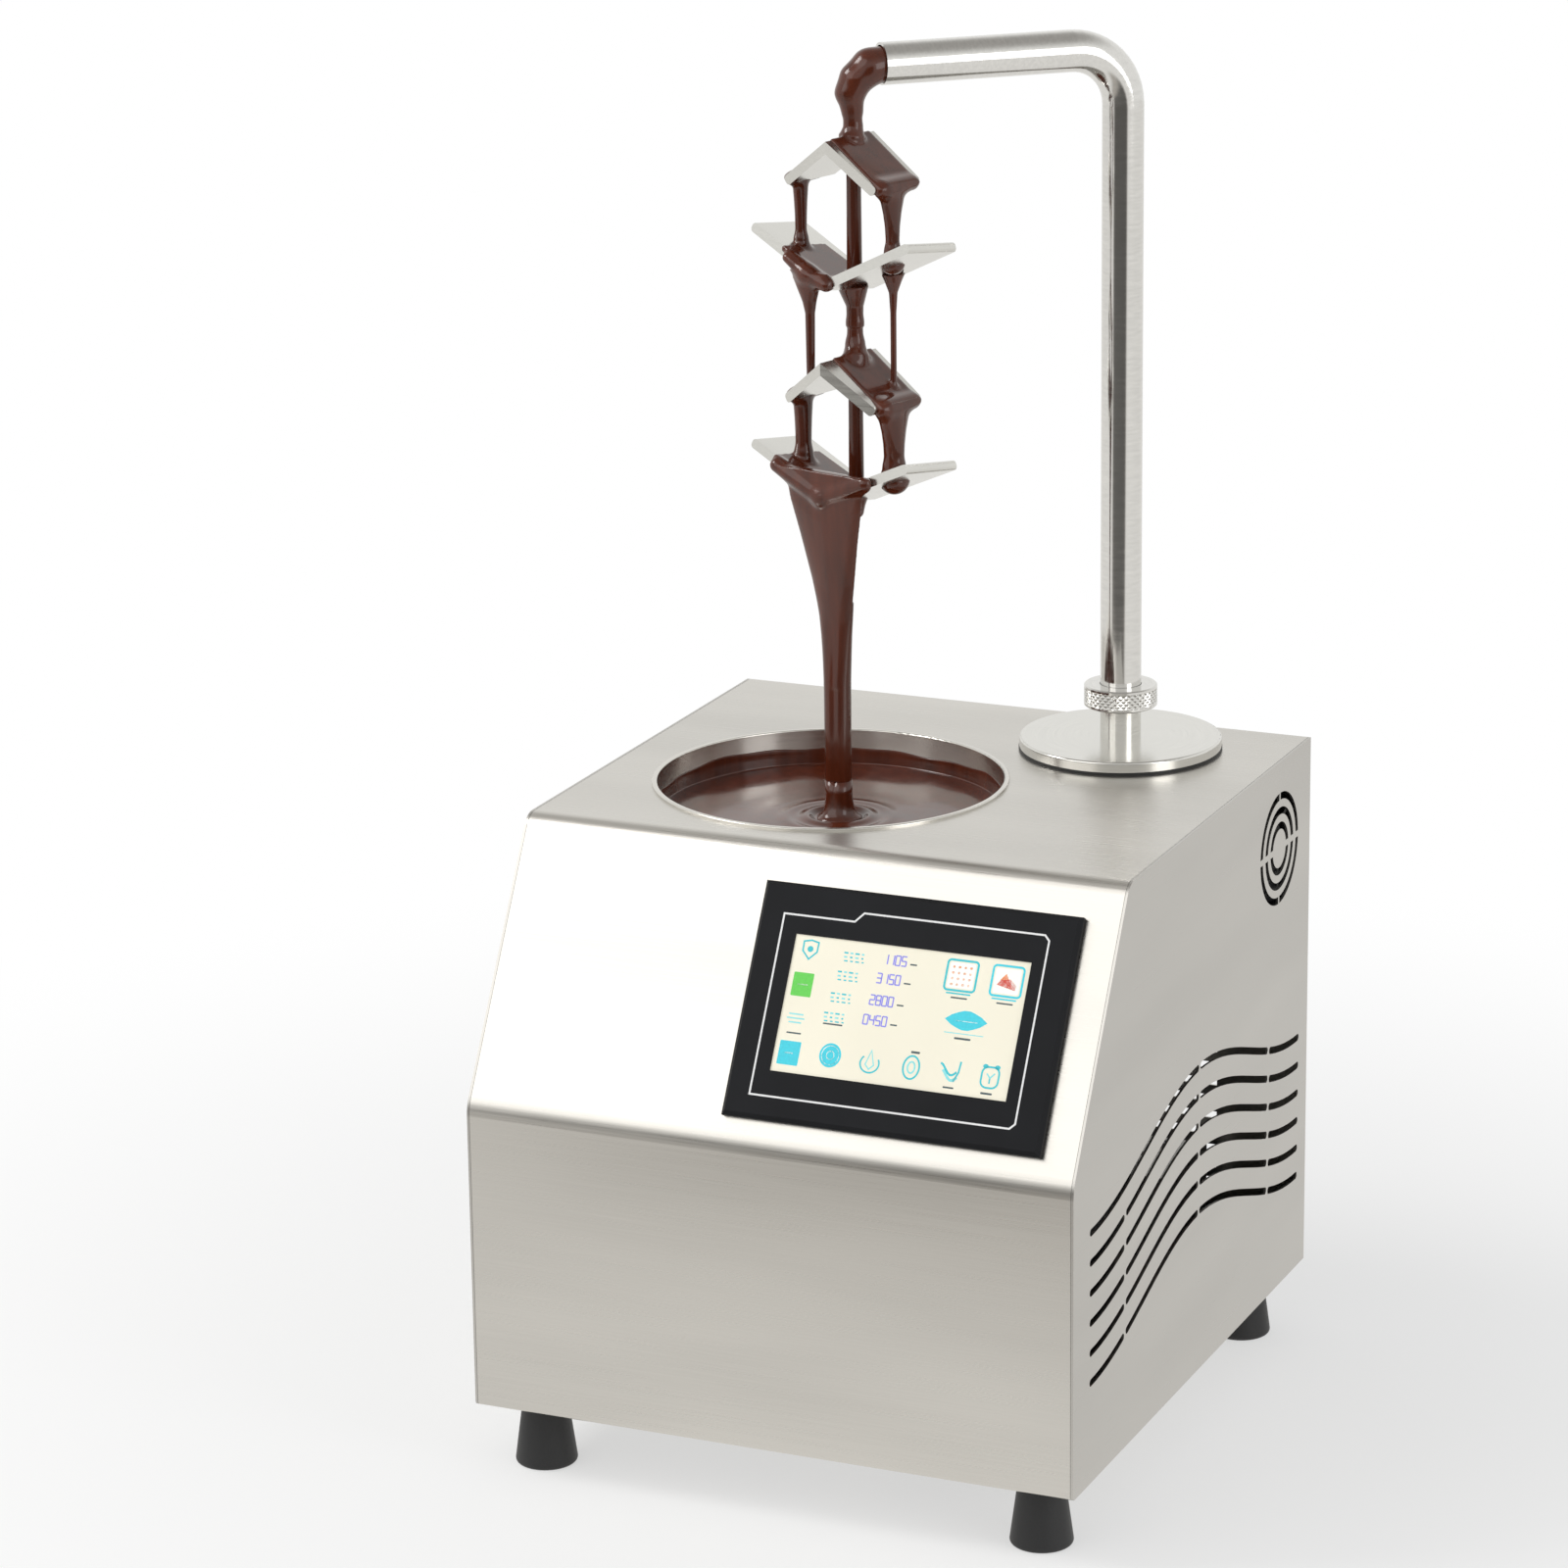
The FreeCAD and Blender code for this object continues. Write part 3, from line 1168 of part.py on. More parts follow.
def gear_motor():
    """Closed right-angle gear motor: square gearbox with the motor lying to the front."""
    body = new_body("gear_motor")
    base = sketch(body, offset="-dim.gearbox_height")
    rectangle(base, "0", "0", "dim.gearbox_size", "dim.gearbox_size")
    pad(body, base, "dim.gearbox_height")
    half = "dim.gearbox_size / 2"
    round_edges(body, "5", lambda edge: any(lies_along("z", x=f"{sx}{half}", y=f"{sy}{half}")(edge)
                                            for sx in ("-", "") for sy in ("-", "")))
    boss = sketch(body)
    circle(boss, "0", "0", "dim.gearbox_boss")
    pad(body, boss, "dim.bracket_thickness")
    can = sketch(body, "XZ_Plane", half)
    circle(can, "0", "-dim.gearbox_height / 2", "dim.motor_radius")
    pad(body, can, "dim.motor_length")
    end = sketch(body, "XZ_Plane", f"{half} + dim.motor_length")
    circle(end, "0", "-dim.gearbox_height / 2", "dim.motor_radius * 0.4")
    pad(body, end, "6")
    bore = sketch(body, offset="-dim.gearbox_height * 0.36")
    circle(bore, "0", "0", "dim.shaft_radius + dim.shaft_fit")
    pocket(body, bore, backwards=True)
    screw_holes = sketch(body)
    for x, y in gearbox_screw_places("0", "0"):
        circle(screw_holes, x, y, "dim.small_screw + dim.seat_gap")
    pocket(body, screw_holes, "dim.gearbox_screw_depth + 1")
    place(body, PUMP_X, PUMP_Y, GEARBOX_TOP)
    return body


def corners(x, y, half_width, half_depth):
    """The four corners of a rectangle about a point."""
    return [(f"{x} {sx} {half_width}", f"{y} {sy} {half_depth}") for sx in "-+" for sy in "-+"]


def bracket_screw_places(x=PUMP_X, y=PUMP_Y):
    return corners(x, y, "(dim.bracket_width + dim.bracket_foot) / 2", "dim.bracket_depth / 3")


def gearbox_screw_places(x=PUMP_X, y=PUMP_Y):
    return corners(x, y, "dim.gearbox_screws / 2", "dim.gearbox_screws / 2")


def motor_bracket():
    """Bent hat-shaped bracket over the gearbox, with feet on the base plate."""
    body = new_body("motor_bracket")
    half = "(dim.bracket_width / 2)"
    foot = f"({half} + dim.bracket_foot)"
    sheet = "dim.bracket_thickness"
    height = f"({BRACKET_TOP} - {BASE_TOP})"
    front = sketch(body, "XZ_Plane")
    outline(front, [
        (f"-{foot}", "0"), (f"-{foot}", sheet), (f"-{half}", sheet), (f"-{half}", height),
        (half, height), (half, sheet), (foot, sheet), (foot, "0"),
        (f"{half} - {sheet}", "0"), (f"{half} - {sheet}", f"{height} - {sheet}"),
        (f"-({half} - {sheet})", f"{height} - {sheet}"), (f"-({half} - {sheet})", "0"),
    ])
    pad(body, front, "dim.bracket_depth", both_ways=True)
    holes = sketch(body)
    circle(holes, "0", "0", "dim.gearbox_boss + dim.hole_play")
    for x, y in bracket_screw_places("0", "0") + gearbox_screw_places("0", "0"):
        circle(holes, x, y, "dim.small_screw + dim.hole_play")
    pocket(body, holes, backwards=True)
    place(body, PUMP_X, PUMP_Y, BASE_TOP)
    return body


def bracket_screws():
    """Four screws into the base plate and four into the gearbox."""
    sizes = ("dim.small_screw", "dim.small_head", "dim.small_head_height")
    foot_length = "dim.bracket_thickness + dim.base_thickness + 2"
    top_length = "dim.bracket_thickness + dim.gearbox_screw_depth"
    screws = [screw("bracket_screw", *sizes, foot_length, x, y, f"{BASE_TOP} + dim.bracket_thickness", "up")
              for x, y in bracket_screw_places()]
    screws += [screw("gearbox_screw", *sizes, top_length, x, y, BRACKET_TOP, "up")
               for x, y in gearbox_screw_places()]
    return group("bracket_screws", screws)


# Disc, union and spout.


def disc_gasket():
    body = new_body("disc_gasket")
    face = sketch(body)
    ring(face, "dim.disc_radius + dim.fit_gap", "dim.barrel_bore")
    pad(body, face, "dim.gasket_thickness")
    hole = sketch(body)
    circle(hole, "dim.stud_circle * cos(45deg)", "dim.stud_circle * sin(45deg)",
           "dim.bolt_radius + dim.hole_play")
    around(body, pocket(body, hole, backwards=True), "dim.stud_count")
    place(body, PUMP_X, PUMP_Y, TOP)
    return body


def spout_flange():
    """Disc with its stub pipe, threaded ring and four studs, welded in one."""
    stub = f"({STUB_TOP} - {DISC_LOW})"
    male = f"({stub} - dim.male_height)"
    body = turned("spout_flange", [
        (BORE, "0"),
        ("dim.disc_radius", "0"),
        ("dim.disc_radius", "dim.disc_thickness"),
        ("dim.tube_radius", "dim.disc_thickness"),
        ("dim.tube_radius", male),
        ("dim.collar_radius", male),
        ("dim.collar_radius", stub),
        (BORE, stub),
    ], PUMP_X, PUMP_Y, DISC_LOW)
    round_edges(body, "dim.disc_edge", rim("dim.disc_radius", "dim.disc_thickness"))
    stud = sketch(body)
    circle(stud, "dim.stud_circle * cos(45deg)", "dim.stud_circle * sin(45deg)", "dim.bolt_radius")
    length = f"dim.gasket_thickness + {WALL} + dim.flange_thickness + dim.nut_thickness + 2"
    around(body, pad(body, stud, length, backwards=True), "dim.stud_count")
    return body


def flange_nuts():
    low = f"{TOP} - {WALL} - dim.flange_thickness - dim.nut_thickness"
    return group("flange_nuts", [
        hex_nut("flange_nut", "dim.bolt_radius", "dim.nut_thickness", x, y, low) for x, y in stud_places()])


def union_seal():
    body = new_body("union_seal")
    face = sketch(body)
    ring(face, "dim.collar_radius", BORE)
    pad(body, face, "dim.union_seal_thickness - dim.fit_gap")
    place(body, PUMP_X, PUMP_Y, STUB_TOP)
    return body


def union_nut():
    """Knurled nut that holds the spout's collar down on the stub."""
    inside = "(dim.collar_radius + dim.fit_gap)"
    neck = "(dim.tube_radius + dim.fit_gap)"
    shoulder = "(dim.union_nut_height - dim.union_nut_lip)"
    body = turned("union_nut", [
        (inside, "0"),
        ("dim.union_nut_radius", "0"),
        ("dim.union_nut_radius", "dim.union_nut_height"),
        (neck, "dim.union_nut_height"),
        (neck, shoulder),
        (inside, shoulder),
    ], PUMP_X, PUMP_Y, NUT_LOW)
    chamfer_edges(body, "0.8", rim("dim.union_nut_radius", "dim.union_nut_height"))
    chamfer_edges(body, "0.8", rim("dim.union_nut_radius", "0"))
    groove = sketch(body, offset="0")
    outline(groove, [
        ("dim.union_nut_radius - dim.knurl_depth", "0"),
        ("dim.union_nut_radius + 0.4", "-dim.knurl_depth * 1.3"),
        ("dim.union_nut_radius + 0.4", "dim.knurl_depth * 1.3"),
    ])
    around(body, pocket(body, groove, backwards=True), "dim.knurl_count")
    return body


def spout_pipe():
    """Swan neck from the union to the mouth above the bowl, with its collar."""
    body = new_body("spout_pipe")
    path = sketch(body, "XZ_Plane")
    bent_path(path, "0", "0", "dim.spout_reach", f"{ARM} - {SPOUT_LOW}", "dim.spout_bend")
    section = sketch(body)
    ring(section, "dim.tube_radius", BORE)
    sweep(body, section, path)
    collar = sketch(body)
    ring(collar, "dim.collar_radius", "dim.tube_radius - dim.tube_wall / 2")
    pad(body, collar, "dim.collar_height")
    place(body, PUMP_X, PUMP_Y, SPOUT_LOW, "0; 0; 1", AIM)
    return body


# Cascade.


def hooked_rod(label, radius):
    """Rod along the bottom of the arm, bent down over the bowl."""
    body = new_body(label)
    start = "(dim.spout_reach - dim.rod_inside)"
    path = sketch(body, "XZ_Plane")
    low = f"({TOP} + {ROD_END})"
    turn_x, turn_z = "(dim.rod_reach - dim.rod_bend)", f"({ROD_ARM} - dim.rod_bend)"
    arc = quarter_arc(path, turn_x, turn_z, "dim.rod_bend", 0)
    straight(path, start, ROD_ARM, arc, 2)
    straight(path, "dim.rod_reach", low, arc, 1)
    section = sketch(body, "YZ_Plane", start)
    circle(section, "0", ROD_ARM, radius)
    sweep(body, section, path)
    place(body, PUMP_X, PUMP_Y, "0", "0; 0; 1", AIM)
    return body


def tier(label, height, front, back, half, fall, nose=None, lean=None):
    """Folded thick plate on the rod: a roof with a nose to its ridge, or a trough that leans."""
    body = new_body(label if nose else f"{label}_blank")
    tilt = f"atan2({fall}; {half})"
    thick = "dim.plate_thickness"
    tip_x = f"({half} - {thick} * sin({tilt}))"
    tip_z = f"({fall} + {thick} * cos({tilt}))"
    # A trough's plate lies above its fold line and a roof's below it.
    way = "-" if nose else ""
    face = sketch(body, "XZ_Plane", f"-{back}")
    outline(face, [
        ("0", "0"), (half, f"{way}{fall}"), (tip_x, f"{way}{tip_z}"),
        ("0", f"{way}{thick} / cos({tilt})"), (f"-{tip_x}", f"{way}{tip_z}"), (f"-{half}", f"{way}{fall}"),
    ])
    pad(body, face, f"{front} + {back} + {nose or 0}")
    picks = [lies_along("y", x=f"{side}{x}", z=f"{way}{z}")
             for x, z in ((half, fall), (tip_x, tip_z)) for side in ("-", "")]
    round_edges(body, "dim.plate_edge", lambda edge: any(pick(edge) for pick in picks))
    if lean:
        spot = f"vector({ROD_X}; {ROD_Y}; {TOP} + {height})"
        body.setExpression("Placement", f"placement({spot}; rotation(-dim.tier_turn; 0; -{lean}))")
        room = cylinder(f"{label}_rod_room", "dim.rod_radius + dim.seat_gap", "4 * dim.trough_half",
                        ROD_X, ROD_Y, f"{TOP} + {height} - dim.trough_half")
        return cut(label, body, room)
    for side in ("-", ""):
        corner = sketch(body)
        reach = f"{half} + dim.plate_thickness"
        slant = f"-({front} + {nose})"
        outline(corner, [("0", slant), (f"{side}({reach})", slant),
                         (f"{side}({reach})", f"{slant} + {nose} * ({reach}) / {half}")])
        pocket(body, corner)
    hole = sketch(body)
    circle(hole, "0", "0", "dim.rod_radius + dim.seat_gap")
    pocket(body, hole)
    place(body, ROD_X, ROD_Y, f"{TOP} + {height}", "0; 0; 1", "-dim.tier_turn")
    return body


def tiers():
    plates = []
    for name, roof, trough in (("upper", TIER_ONE, TIER_TWO), ("lower", TIER_THREE, TIER_FOUR)):
        plates.append(tier(f"{name}_roof_plate", roof, f"dim.{name}_roof_front", "dim.roof_back",
                           "dim.roof_half", "dim.roof_drop", nose=f"dim.{name}_roof_nose"))
        plates.append(tier(f"{name}_trough_plate", trough, f"dim.{name}_trough_front", "dim.trough_back",
                           "dim.trough_half", f"dim.{name}_trough_rise", lean="dim.trough_lean"))
    return plates


def chocolate_neck():
    """Chocolate that leaves the mouth and drops on the upper roof round the rod."""
    body = new_body("neck_blank")
    start = "(dim.spout_reach + dim.fit_gap)"
    bend = f"(dim.rod_reach - {start})"
    profile = sketch(body, "YZ_Plane", start)
    circle(profile, "0", ARM, "dim.neck_radius")
    path = sketch(body, "XZ_Plane")
    quarter_arc(path, start, f"({ARM} - {bend})", bend, 0)
    sweep(body, profile, path)
    place(body, PUMP_X, PUMP_Y, "0", "0; 0; 1", AIM)
    low = f"({TOP} + {TIER_ONE} + dim.fit_gap)"
    high = f"({ARM} - {bend})"
    waist = DOC.addObject("Part::Cone", "neck_waist_cone")
    waist.setExpression("Radius1", "dim.neck_waist")
    waist.setExpression("Radius2", "dim.neck_radius")
    waist.setExpression("Height", f"{high} - {low}")
    place(waist, ROD_X, ROD_Y, low)
    rod_room = hooked_rod("neck_rod_room", "dim.rod_radius + dim.seat_gap")
    return cut("neck_round_rod", join("neck_solid", [body, waist]), rod_room)


THICK_ROOF = "(dim.plate_thickness / cos(atan2(dim.roof_drop; dim.roof_half)))"
THICK_TROUGH = "(dim.plate_thickness / cos(atan2(dim.upper_trough_rise; dim.trough_half)))"
ROOF_EDGE = "(dim.roof_drop + dim.plate_thickness * cos(atan2(dim.roof_drop; dim.roof_half)))"


def strand(offset, radius, low, high, bore=None):
    """Upright chocolate strand; with a bore it is a coat round the rod."""
    inner = bore or "0"
    body = turned("strand", [(inner, "0"), (radius, "0"), (radius, f"{high} - ({low})"),
                             (inner, f"{high} - ({low})")],
                  f"{ROD_X} + {offset} * cos(dim.tier_turn * 1deg)",
                  f"{ROD_Y} - {offset} * sin(dim.tier_turn * 1deg)", f"{TOP} + {low}")
    return body


def lean_room(radius):
    """How far a leaning trough rises or sinks within a strand's width, and a little more."""
    return f"({radius} * tan(dim.trough_lean * 1deg) + dim.fit_gap / 2)"


def chocolate_falls():
    """The neck and, at each level below it, two strands and a coat on the rod."""
    drop = "dim.roof_drop / dim.roof_half"
    outside = "(dim.strand_offset + dim.strand_radius)"
    inside = "(dim.strand_offset - dim.strand_radius)"
    bore = "(dim.rod_radius + dim.seat_gap)"
    pieces = [chocolate_neck()]
    for roof, trough, rise in ((TIER_ONE, TIER_TWO, "dim.upper_trough_rise / dim.trough_half"),
                               (TIER_THREE, TIER_FOUR, "dim.lower_trough_rise / dim.trough_half")):
        low = f"({trough} + {THICK_TROUGH} + {outside} * {rise} + {lean_room('dim.strand_radius')})"
        high = f"({roof} - {ROOF_EDGE} - dim.fit_gap)"
        for side in ("-", ""):
            pieces.append(strand(f"{side}dim.strand_offset", "dim.strand_radius", low, high))
        low = f"({trough} + {THICK_TROUGH} + dim.coat_radius * {rise} + {lean_room('dim.coat_radius')})"
        high = f"({roof} - {THICK_ROOF} - dim.coat_radius * {drop} - dim.fit_gap)"
        pieces.append(strand("0", "dim.coat_radius", low, high, bore))
    low = f"({TIER_THREE} - {inside} * {drop} + dim.fit_gap)"
    rise = "dim.upper_trough_rise / dim.trough_half"
    high = f"({TIER_TWO} + {inside} * {rise} - {lean_room('dim.strand_radius')})"
    for side in ("-", ""):
        pieces.append(strand(f"{side}dim.strand_offset", "dim.strand_radius", low, high))
    wide = "(dim.coat_radius * 1.6)"
    low, high = f"({TIER_THREE} + dim.fit_gap)", f"({TIER_TWO} - {lean_room(wide)})"
    pieces.append(strand("0", wide, low, high, bore))
    return group("chocolate_falls", pieces)


def chocolate_stream():
    """Main stream from the lower trough, ending just above the case top."""
    high = f"({TOP} + {TIER_FOUR} - dim.fit_gap - {STREAM_LOW})"
    return turned("chocolate_stream", [
        ("0", "0"),
        ("dim.stream_radius", "0"),
        ("dim.stream_radius", f"{high} - dim.stream_funnel"),
        ("dim.stream_top", high),
        ("0", high),
    ], STREAM_X, STREAM_Y, STREAM_LOW)


# Control panel, in a frame on the slope: X across, Y up the slope, Z outwards.

PANEL_MIDDLE = "(dim.panel_low + dim.panel_length / 2)"
HOUSING_WIDTH = "(dim.panel_width - 2 * dim.housing_margin)"
HOUSING_LENGTH = "(dim.panel_length - 2 * dim.housing_margin)"


def on_slope(piece):
    place(piece, "0", FRONT, BEND, "1; 0; 0", f"90deg - {TILT}")
    return piece


def slab(label, x, y, width, length, low, thickness):
    """A rectangular plate in the slope's frame."""
    body = new_body(label)
    face = sketch(body, offset=low)
    rectangle(face, x, y, width, length)
    pad(body, face, thickness)
    return body


def panel_gasket():
    body = new_body("panel_gasket")
    face = sketch(body)
    rectangle(face, "dim.panel_x", PANEL_MIDDLE, "dim.panel_width - 2", "dim.panel_length - 2")
    rectangle(face, "dim.panel_x", PANEL_MIDDLE, f"{HOUSING_WIDTH} + 2 * dim.fit_gap",
              f"{HOUSING_LENGTH} + 2 * dim.fit_gap")
    pad(body, face, "dim.panel_gasket")
    return on_slope(body)


SCREEN_MIDDLE = f"({PANEL_MIDDLE} + dim.screen_rise)"


def panel_bezel():
    """Front frame with a chamfered edge and the display window."""
    body = slab("panel_bezel", "dim.panel_x", PANEL_MIDDLE, "dim.panel_width", "dim.panel_length",
                "dim.panel_gasket", "dim.panel_proud")
    face = value(SCREEN_FACE)
    chamfer_edges(body, "dim.panel_chamfer", lambda edge: all(near(v.Point.z, face) for v in edge.Vertexes))
    window = sketch(body)
    rectangle(window, "dim.panel_x", SCREEN_MIDDLE, "dim.screen_width", "dim.screen_length")
    pocket(body, window, backwards=True)
    return on_slope(body)


def panel_display():
    low = f"({SCREEN_FACE} - dim.screen_recess - dim.screen_thickness)"
    body = slab("panel_display", "dim.panel_x", SCREEN_MIDDLE, "dim.screen_width - 2 * dim.seat_gap",
                "dim.screen_length - 2 * dim.seat_gap", low, "dim.screen_thickness")
    return on_slope(body)


def panel_housing():
    body = slab("panel_housing", "dim.panel_x", PANEL_MIDDLE, HOUSING_WIDTH, HOUSING_LENGTH,
                "-dim.housing_depth", "dim.housing_depth + dim.panel_gasket")
    low = -value("dim.housing_depth")
    chamfer_edges(body, "4", lambda edge: all(near(v.Point.z, low) for v in edge.Vertexes))
    return on_slope(body)


def panel_clamps():
    """Clips hooked on the housing's sides that press on the back of the slope."""
    clips = []
    for side in ("-", "+"):
        x = f"dim.panel_x {side} ({HOUSING_WIDTH} / 2 + dim.clip_reach / 2)"
        for end in ("-", "+"):
            y = f"{PANEL_MIDDLE} {end} ({HOUSING_LENGTH} / 2 - dim.clip_inset)"
            clip = slab("panel_clip", x, y, "dim.clip_reach", "dim.clip_size",
                        f"-{WALL} - dim.clip_size", "dim.clip_size")
            clips.append(on_slope(clip))
    return group("panel_clamps", clips)


# Fan, in a frame whose Z axis points out through the right-hand side.


def by_vent(piece):
    place(piece, f"{SIDE} - {WALL} - dim.fan_depth", VENT_Y, f"{BOTTOM} + dim.vent_height",
          "0; 1; 0", "90deg")
    return piece


def fan_frame():
    """Square frame with its air way, motor hub and three arms."""
    body = new_body("fan_frame")
    face = sketch(body)
    rectangle(face, "0", "0", "dim.fan_size", "dim.fan_size")
    pad(body, face, "dim.fan_depth")
    half = "dim.fan_size / 2"
    round_edges(body, "4", lambda edge: any(lies_along("z", x=f"{sx}{half}", y=f"{sy}{half}")(edge)
                                            for sx in ("-", "") for sy in ("-", "")))
    holes = sketch(body)
    circle(holes, "0", "0", "dim.fan_bore")
    for sx in ("-", ""):
        for sy in ("-", ""):
            circle(holes, f"{sx}dim.fan_holes / 2", f"{sy}dim.fan_holes / 2", "dim.fan_stud + dim.hole_play")
    pocket(body, holes, backwards=True)
    hub = sketch(body)
    circle(hub, "0", "0", "dim.fan_hub")
    arm = sketch(body)
    rectangle(arm, "0", "(dim.fan_bore + dim.fan_hub) / 2", "5", "dim.fan_bore - dim.fan_hub + 4")
    arms = around(body, pad(body, arm, "4"), "3")
    pad(body, hub, "4")
    return by_vent(body)


def fan_impeller():
    """Hub cup with pitched blades."""
    blades = []
    low, high = "(4 + 2 * dim.fit_gap)", "(dim.fan_depth - 3)"
    hub = cylinder("impeller_hub", "dim.fan_hub - 1", f"{high} - {low}", z=low)
    count = int(value("dim.fan_blades"))
    reach = "(dim.fan_bore - 1)"
    span = f"({high} - {low})"
    for number in range(count):
        blade = new_body("fan_blade")
        face = sketch(blade, "YZ_Plane", "dim.fan_hub - 2")
        slant = "(dim.blade_pitch * 1deg)"
        middle = f"({low} + {span} / 2)"
        run = f"({span} / 2 / tan({slant}))"
        thick = f"(dim.blade_thickness / 2 / sin({slant}))"
        outline(face, [
            (f"-{run} - {thick}", f"{middle} - {span} / 2"),
            (f"-{run} + {thick}", f"{middle} - {span} / 2"),
            (f"{run} + {thick}", f"{middle} + {span} / 2"),
            (f"{run} - {thick}", f"{middle} + {span} / 2"),
        ])
        pad(blade, face, f"{reach} - (dim.fan_hub - 2)")
        place(blade, turn=f"{number} * 360deg / dim.fan_blades")
        blades.append(blade)
    swept = DOC.addObject("Part::MultiCommon", "fan_sweep")
    swept.Shapes = [join("fan_blades_all", blades), cylinder("fan_swept_room", reach, high)]
    return by_vent(join("fan_impeller", [hub, swept]))


def fan_nuts():
    nuts = [hex_nut("fan_nut", "dim.fan_stud", "dim.fan_stud * 1.6", f"{SIDE} - {WALL} - dim.fan_depth",
                    y, z, "0; 1; 0", "-90deg") for y, z in fan_stud_places()]
    return group("fan_nuts", nuts)


# Electrics.


def power_supply():
    """Boxed supply with a terminal step at the rear and vent slots in its top."""
    body = new_body("power_supply")
    face = sketch(body)
    rectangle(face, "0", "0", "dim.supply_width", "dim.supply_length")
    pad(body, face, "dim.supply_height")
    step = sketch(body, offset="dim.supply_height")
    rectangle(step, "0", "dim.supply_length / 2 - 9", "dim.supply_width - 4", "18")
    pocket(body, step, "dim.supply_height * 0.55")
    slots = sketch(body, offset="dim.supply_height")
    for number in range(8):
        rectangle(slots, "0", f"({number} - 4.5) * 14", "dim.supply_width * 0.6", "3")
    pocket(body, slots, "2")
    place(body, f"-{SIDE} + dim.supply_side", f"{REAR} - dim.supply_rear", BASE_TOP)
    return body


BOARD_X = f"(-{SIDE} + dim.board_side)"
BOARD_Y = f"({FRONT} + dim.board_front)"


def board_places():
    return corners(BOARD_X, BOARD_Y, "(dim.board_width / 2 - dim.board_inset)",
                   "(dim.board_depth / 2 - dim.board_inset)")


def board_standoffs():
    posts = []
    for x, y in board_places():
        post = new_body("standoff")
        face = sketch(post)
        circle(face, "0", "0", "dim.standoff_radius")
        pad(post, face, "dim.standoff_height")
        stem = sketch(post)
        circle(stem, "0", "0", "dim.small_screw")
        pad(post, stem, "dim.base_thickness + 1", backwards=True)
        pin = sketch(post, offset="dim.standoff_height")
        circle(pin, "0", "0", "dim.small_screw * 0.8")
        pad(post, pin, "dim.board_thickness + 2")
        place(post, x, y, BASE_TOP)
        posts.append(post)
    return group("board_standoffs", posts)


def control_board():
    """Circuit board with its relays, transformer, heat sink and terminal row."""
    body = new_body("control_board")
    face = sketch(body)
    rectangle(face, "0", "0", "dim.board_width", "dim.board_depth")
    for sx in ("-", ""):
        for sy in ("-", ""):
            circle(face, f"{sx}(dim.board_width / 2 - dim.board_inset)",
                   f"{sy}(dim.board_depth / 2 - dim.board_inset)", "dim.small_screw")
    pad(body, face, "dim.board_thickness")
    parts = (
        ("0", "dim.board_depth * 0.42", "dim.board_width * 0.7", "9", "12"),
        ("-dim.board_width * 0.28", "0", "30", "34", "24"),
        ("dim.board_width * 0.2", "dim.board_depth * 0.1", "44", "14", "20"),
        ("dim.board_width * 0.1", "-dim.board_depth * 0.25", "20", "20", "3"),
        ("dim.board_width * 0.34", "-dim.board_depth * 0.2", "14", "18", "15"),
        ("-dim.board_width * 0.1", "-dim.board_depth * 0.38", "40", "8", "8"),
    )
    for x, y, width, depth, height in parts:
        chip = sketch(body, offset="dim.board_thickness")
        rectangle(chip, x, y, width, depth)
        pad(body, chip, height)
    place(body, BOARD_X, BOARD_Y, f"{BASE_TOP} + dim.standoff_height")
    return body


def socket_outline(target, width, height):
    """Rectangle with its two upper corners cut off, as on a mains inlet."""
    x, y = f"({width}) / 2", f"({height}) / 2"
    cut_off = "dim.inlet_rise * 0.22"
    outline(target, [
        (f"-({x})", f"-({y})"), (x, f"-({y})"), (x, f"{y} - {cut_off}"), (f"{x} - {cut_off}", y),
        (f"-({x} - {cut_off})", y), (f"-({x})", f"{y} - {cut_off}"),
    ])


def power_inlet():
    """Three-pin mains inlet with a flange outside and a body inside the rear panel."""
    body = new_body("power_inlet")
    flange = sketch(body, "XZ_Plane")
    rectangle(flange, "0", "0", "dim.inlet_width + 2 * dim.bezel_width",
              "dim.inlet_rise + 2 * dim.bezel_width")
    pad(body, flange, "dim.bezel_thickness", backwards=True)
    case = sketch(body, "XZ_Plane")
    rectangle(case, "0", "0", "dim.inlet_width", "dim.inlet_rise")
    pad(body, case, "dim.inlet_depth")
    recess = sketch(body, "XZ_Plane", "-dim.bezel_thickness")
    socket_outline(recess, "dim.inlet_width - 2 * dim.inlet_wall", "dim.inlet_rise - 2 * dim.inlet_wall")
    pocket(body, recess, "dim.inlet_recess", backwards=True)
    pins = sketch(body, "XZ_Plane", "dim.inlet_recess - dim.bezel_thickness")
    for x, y in (("-7", "-2"), ("7", "-2"), ("0", "2")):
        rectangle(pins, x, y, "2", "4")
    pad(body, pins, "dim.pin_length", backwards=True)
    place(body, INLET_X, REAR_FACE, ELECTRIC_Z)
    return body


def switch_housing():
    body = new_body("switch_housing")
    flange = sketch(body, "XZ_Plane")
    rectangle(flange, "0", "0", "dim.switch_width + dim.bezel_width",
              "dim.switch_rise + 2 * dim.bezel_width")
    pad(body, flange, "dim.bezel_thickness", backwards=True)
    case = sketch(body, "XZ_Plane")
    rectangle(case, "0", "0", "dim.switch_width", "dim.switch_rise")
    pad(body, case, "dim.switch_depth")
    cavity = sketch(body, "XZ_Plane", "-dim.bezel_thickness")
    rectangle(cavity, "0", "0", "dim.rocker_width + 2 * dim.fit_gap", "2 * (dim.rocker_radius + dim.fit_gap)")
    pocket(body, cavity, "dim.bezel_thickness + dim.rocker_sink + dim.rocker_radius * 0.8", backwards=True)
    place(body, SWITCH_X, REAR_FACE, ELECTRIC_Z)
    return body


